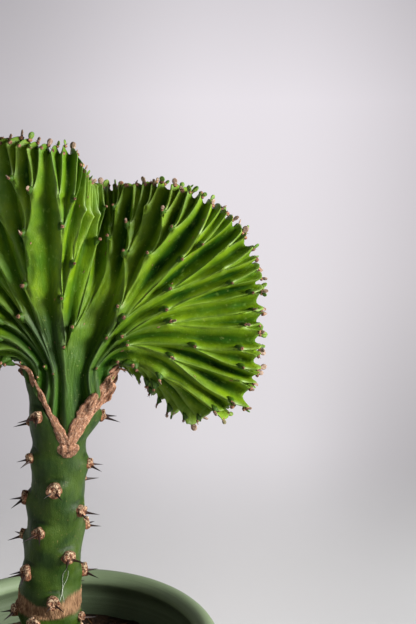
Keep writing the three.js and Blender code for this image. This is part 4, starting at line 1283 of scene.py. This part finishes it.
def pot_body():
    rows, columns = pot_profile(), 168
    angle = circle(columns)
    points = []
    for r, z in rows:
        r = r + (0.05 * math.sin(2.1 * z) if 14 < z < 98 else 0)
        points.append(xyz(r * np.cos(angle), r * np.sin(angle), z))
    # The inside mark covers the underside of the lip, the inner wall and the floor, where the glaze is
    # painted with shade.
    inside = np.repeat(np.arange(len(rows)) > len(rows) - INSIDE_ROWS - 6, columns).astype(float)
    pot = body("pot_shell", np.vstack(points), grid_faces(len(rows), columns), {"inside": inside})
    drills, b = [], circle(24)
    for a in circle(Pot.holes):
        ring = xyz(Pot.hole_circle * math.cos(a) + Pot.hole_radius * np.cos(b),
                   Pot.hole_circle * math.sin(a) + Pot.hole_radius * np.sin(b), 0)
        drills.append(body("drill", np.vstack([ring - [0, 0, 8], ring + [0, 0, 14]]), capped(2, len(b))))
        cut = pot.modifiers.new("drain", "BOOLEAN")
        cut.operation, cut.solver, cut.object = "DIFFERENCE", "EXACT", drills[-1]
    applied(pot)
    for drill in drills:
        bpy.data.objects.remove(drill)
    return pot


# The potting mix.
def pot_inside(z):
    low = Pot.floor + Pot.corner
    foot = Pot.base_radius - Pot.wall + 1
    head = Pot.rim_radius - Pot.rim_width + Pot.lip_step
    return lerp(foot, head, np.clip((z - low) / (Pot.height - Pot.lip_depth - low), 0, 1))


def soil_height(x, y):
    share = np.clip(np.hypot(x, y) / 54, 0, 1)
    at = xyz(x, y, 0)
    rough = 0.9 * grain(at, 7, 31) + 0.7 * grain(at, 2.8, 32) + 0.35 * grain(at, 1.3, 33)
    return Soil.top + Soil.crown * (1 - share ** 2) + rough * (1 - 0.5 * share ** 6)


def soil_body():
    columns, steps, skin = 200, 64, 0.35
    angle = circle(columns)
    ring = np.stack([np.sin(angle), -np.cos(angle)], 1)

    def round_stem(z):
        return stem_point(angle, z, skin)[:, :2]

    above_foot, low, floor = STOCK_FOOT + 12, Pot.floor + Pot.corner + Soil.gap, Pot.floor + Soil.gap
    loops = [(0 * ring + [-4.2, 0], 47.4), (round_stem(STOCK_FOOT), 47.5),
             (round_stem(above_foot), above_foot)]
    stem, edge = round_stem(95), ring * (pot_inside(Soil.top) - Soil.gap)
    for f in np.arange(steps + 1) / steps:
        xy = lerp(stem, edge, f)
        loops.append((xy, soil_height(*xy.T)))
    loops += [(ring * (pot_inside(z) - Soil.gap), z) for z in (lerp(Soil.top - 2, low, 0.5), low)]
    loops += [(ring * (pot_inside(low) - Soil.gap - Pot.corner - 0.5), floor), (ring * 0.01, floor)]
    return body("soil_bed", np.vstack([xyz(*xy.T, z) for xy, z in loops]), grid_faces(len(loops), columns))


def soil_trim(crumb, coir):
    """Crumbs strewn on the soil and fibres that rise from it, both clear of the stem."""
    draw = np.random.default_rng(24)
    count, wall, steps = 2400, 52.6, 8
    radius = 52.5 * np.sqrt(draw.random(count))
    angle = 2 * np.pi * draw.random(count)
    x, y = radius * np.cos(angle), radius * np.sin(angle)
    clear = np.hypot(x + 5, y) > 12.6
    x, y = x[clear], y[clear]
    up = unit(draw.normal(size=(len(x), 3)))
    size = 0.35 + 1.15 * draw.random(len(x)) ** 2.6
    seats = [(xyz(x, y, soil_height(x, y) + 0.15), up, np.roll(up, 1, 1) * [1, -1, 1], size,
              draw.random(len(x)) ** 1.4)]
    plant("soil_crumbs", crumb_shape(), seats, "soil", crumb, uneven=0.2, seed=9)
    paths = []
    for _ in range(210):
        r, a = 51.5 * math.sqrt(draw.random()), 2 * math.pi * draw.random()
        spot = np.array([r * math.cos(a), r * math.sin(a)])
        if math.hypot(spot[0] + 5, spot[1]) < 14:
            continue
        heading, bend, length = 2 * math.pi * draw.random(), draw.normal() * 0.16, 5 + 13 * draw.random()
        rise, path = 0.4 + 1.8 * draw.random() ** 2, []
        for f in np.arange(steps + 1) / steps:
            z = float(soil_height(*spot)) - 0.4 + rise * math.sin(math.pi * f) + 0.25 * math.sin(5 * f + r)
            path.append([*spot, z])
            heading += bend + 0.25 * draw.normal()
            spot = spot + length / steps * np.array([math.cos(heading), math.sin(heading)])
            spot *= min(1, wall / math.hypot(*spot))
        paths.append(np.array(path))
    strands("coir_fibres", paths, 0.16, 5, "soil", coir)


# The stage, the window and the camera.
def stage():
    """A round floor that curves up into a wall on every side."""
    flat, bend, sides = 1500, 260, 96
    rows = [(0.02, 0), (300, 0), (700, 0), (1100, 0), (flat, 0)]
    rows += [(flat + bend * math.sin(a), bend * (1 - math.cos(a)))
             for a in np.radians(np.linspace(6, 90, 15))]
    rows += [(flat + bend, 1200), (flat + bend, 2600)]
    points = [[r * math.cos(a), r * math.sin(a), z] for r, z in rows for a in circle(sides)]
    piece = body("backdrop", points, grid_faces(len(rows), sides))
    piece.data.materials.append(stage_paper_and_painted_glow())


def studio():
    stage()
    window = bpy.data.lights.new("window", "AREA")
    window.shape, window.size, window.size_y = "RECTANGLE", 380 * MM, 380 * MM
    window.energy, window.color = 25.0, (1.0, 0.985, 0.96)
    camera = bpy.data.cameras.new("camera")
    camera.lens, camera.sensor_width, camera.clip_start, camera.clip_end = 70, 36, 0.01, 20
    light, eye = (bpy.data.objects.new(data.name, data) for data in (window, camera))
    for thing in (light, eye):
        bpy.context.collection.objects.link(thing)
    place, aim = Vector((950, -370, 520)), Vector((10, 0, 230))
    light.visible_camera = False
    light.location, light.rotation_euler = place * MM, (aim - place).to_track_quat("-Z", "Y").to_euler()
    eye.location, eye.rotation_euler = Vector((58.1, -437.5, 365.75)) * MM, (math.radians(75), 0, 0)
    world = bpy.data.worlds.new("room")
    world.use_nodes = True
    room = world.node_tree.nodes["Background"].inputs
    room["Color"].default_value, room["Strength"].default_value = (0.92, 0.92, 0.95, 1), 0.03
    scene = bpy.context.scene
    scene.world, scene.camera = world, eye
    scene.view_settings.view_transform = "Standard"


def build():
    flesh, thorn, bark = crest_flesh(), thorn_horn(), graft_bark_skin()
    peat = two_tone("peat", (2.2, 4, 0.65), (0.008, 0.005, 0.003), (0.05, 0.026, 0.013), (1.1, 4, 0.7), 0.4,
                    0.92, 0.2)
    coir = two_tone("coir strand", (2.5, 2), (0.1, 0.038, 0.012), (0.36, 0.17, 0.06), (0.3, 2), 0.05,
                    0.7, 0.3)
    sap = two_tone("dried sap", (0.7, 3), (0.3, 0.34, 0.26), (0.62, 0.64, 0.56), (0.3, 2), 0.05, 0.45, 0.5)
    made = settle(crest_body(), "crest", flesh, "crest")
    near_graft = np.array([v.co for v in made.data.vertices]) / MM
    near_graft = near_graft[near_graft[:, 2] < 240]
    crest_trim(flesh, scar_brown(), thorn, leaflet_skin())
    settle(stock_body(), "rootstock", stock_skin(), "rootstock")
    stem_pads(pad_cork())
    stem_thorns(thorn)
    sap_trickle(sap)
    settle(callus_body(), "graft_callus", bark, "graft_callus")
    graft_bark(bark, near_graft)
    horn_cap(bark)
    settle(soil_body(), "soil", peat, "soil")
    soil_trim(crumb_brown(), coir)
    settle(pot_body(), "pot", pot_glaze(), "pot")
    studio()


build()
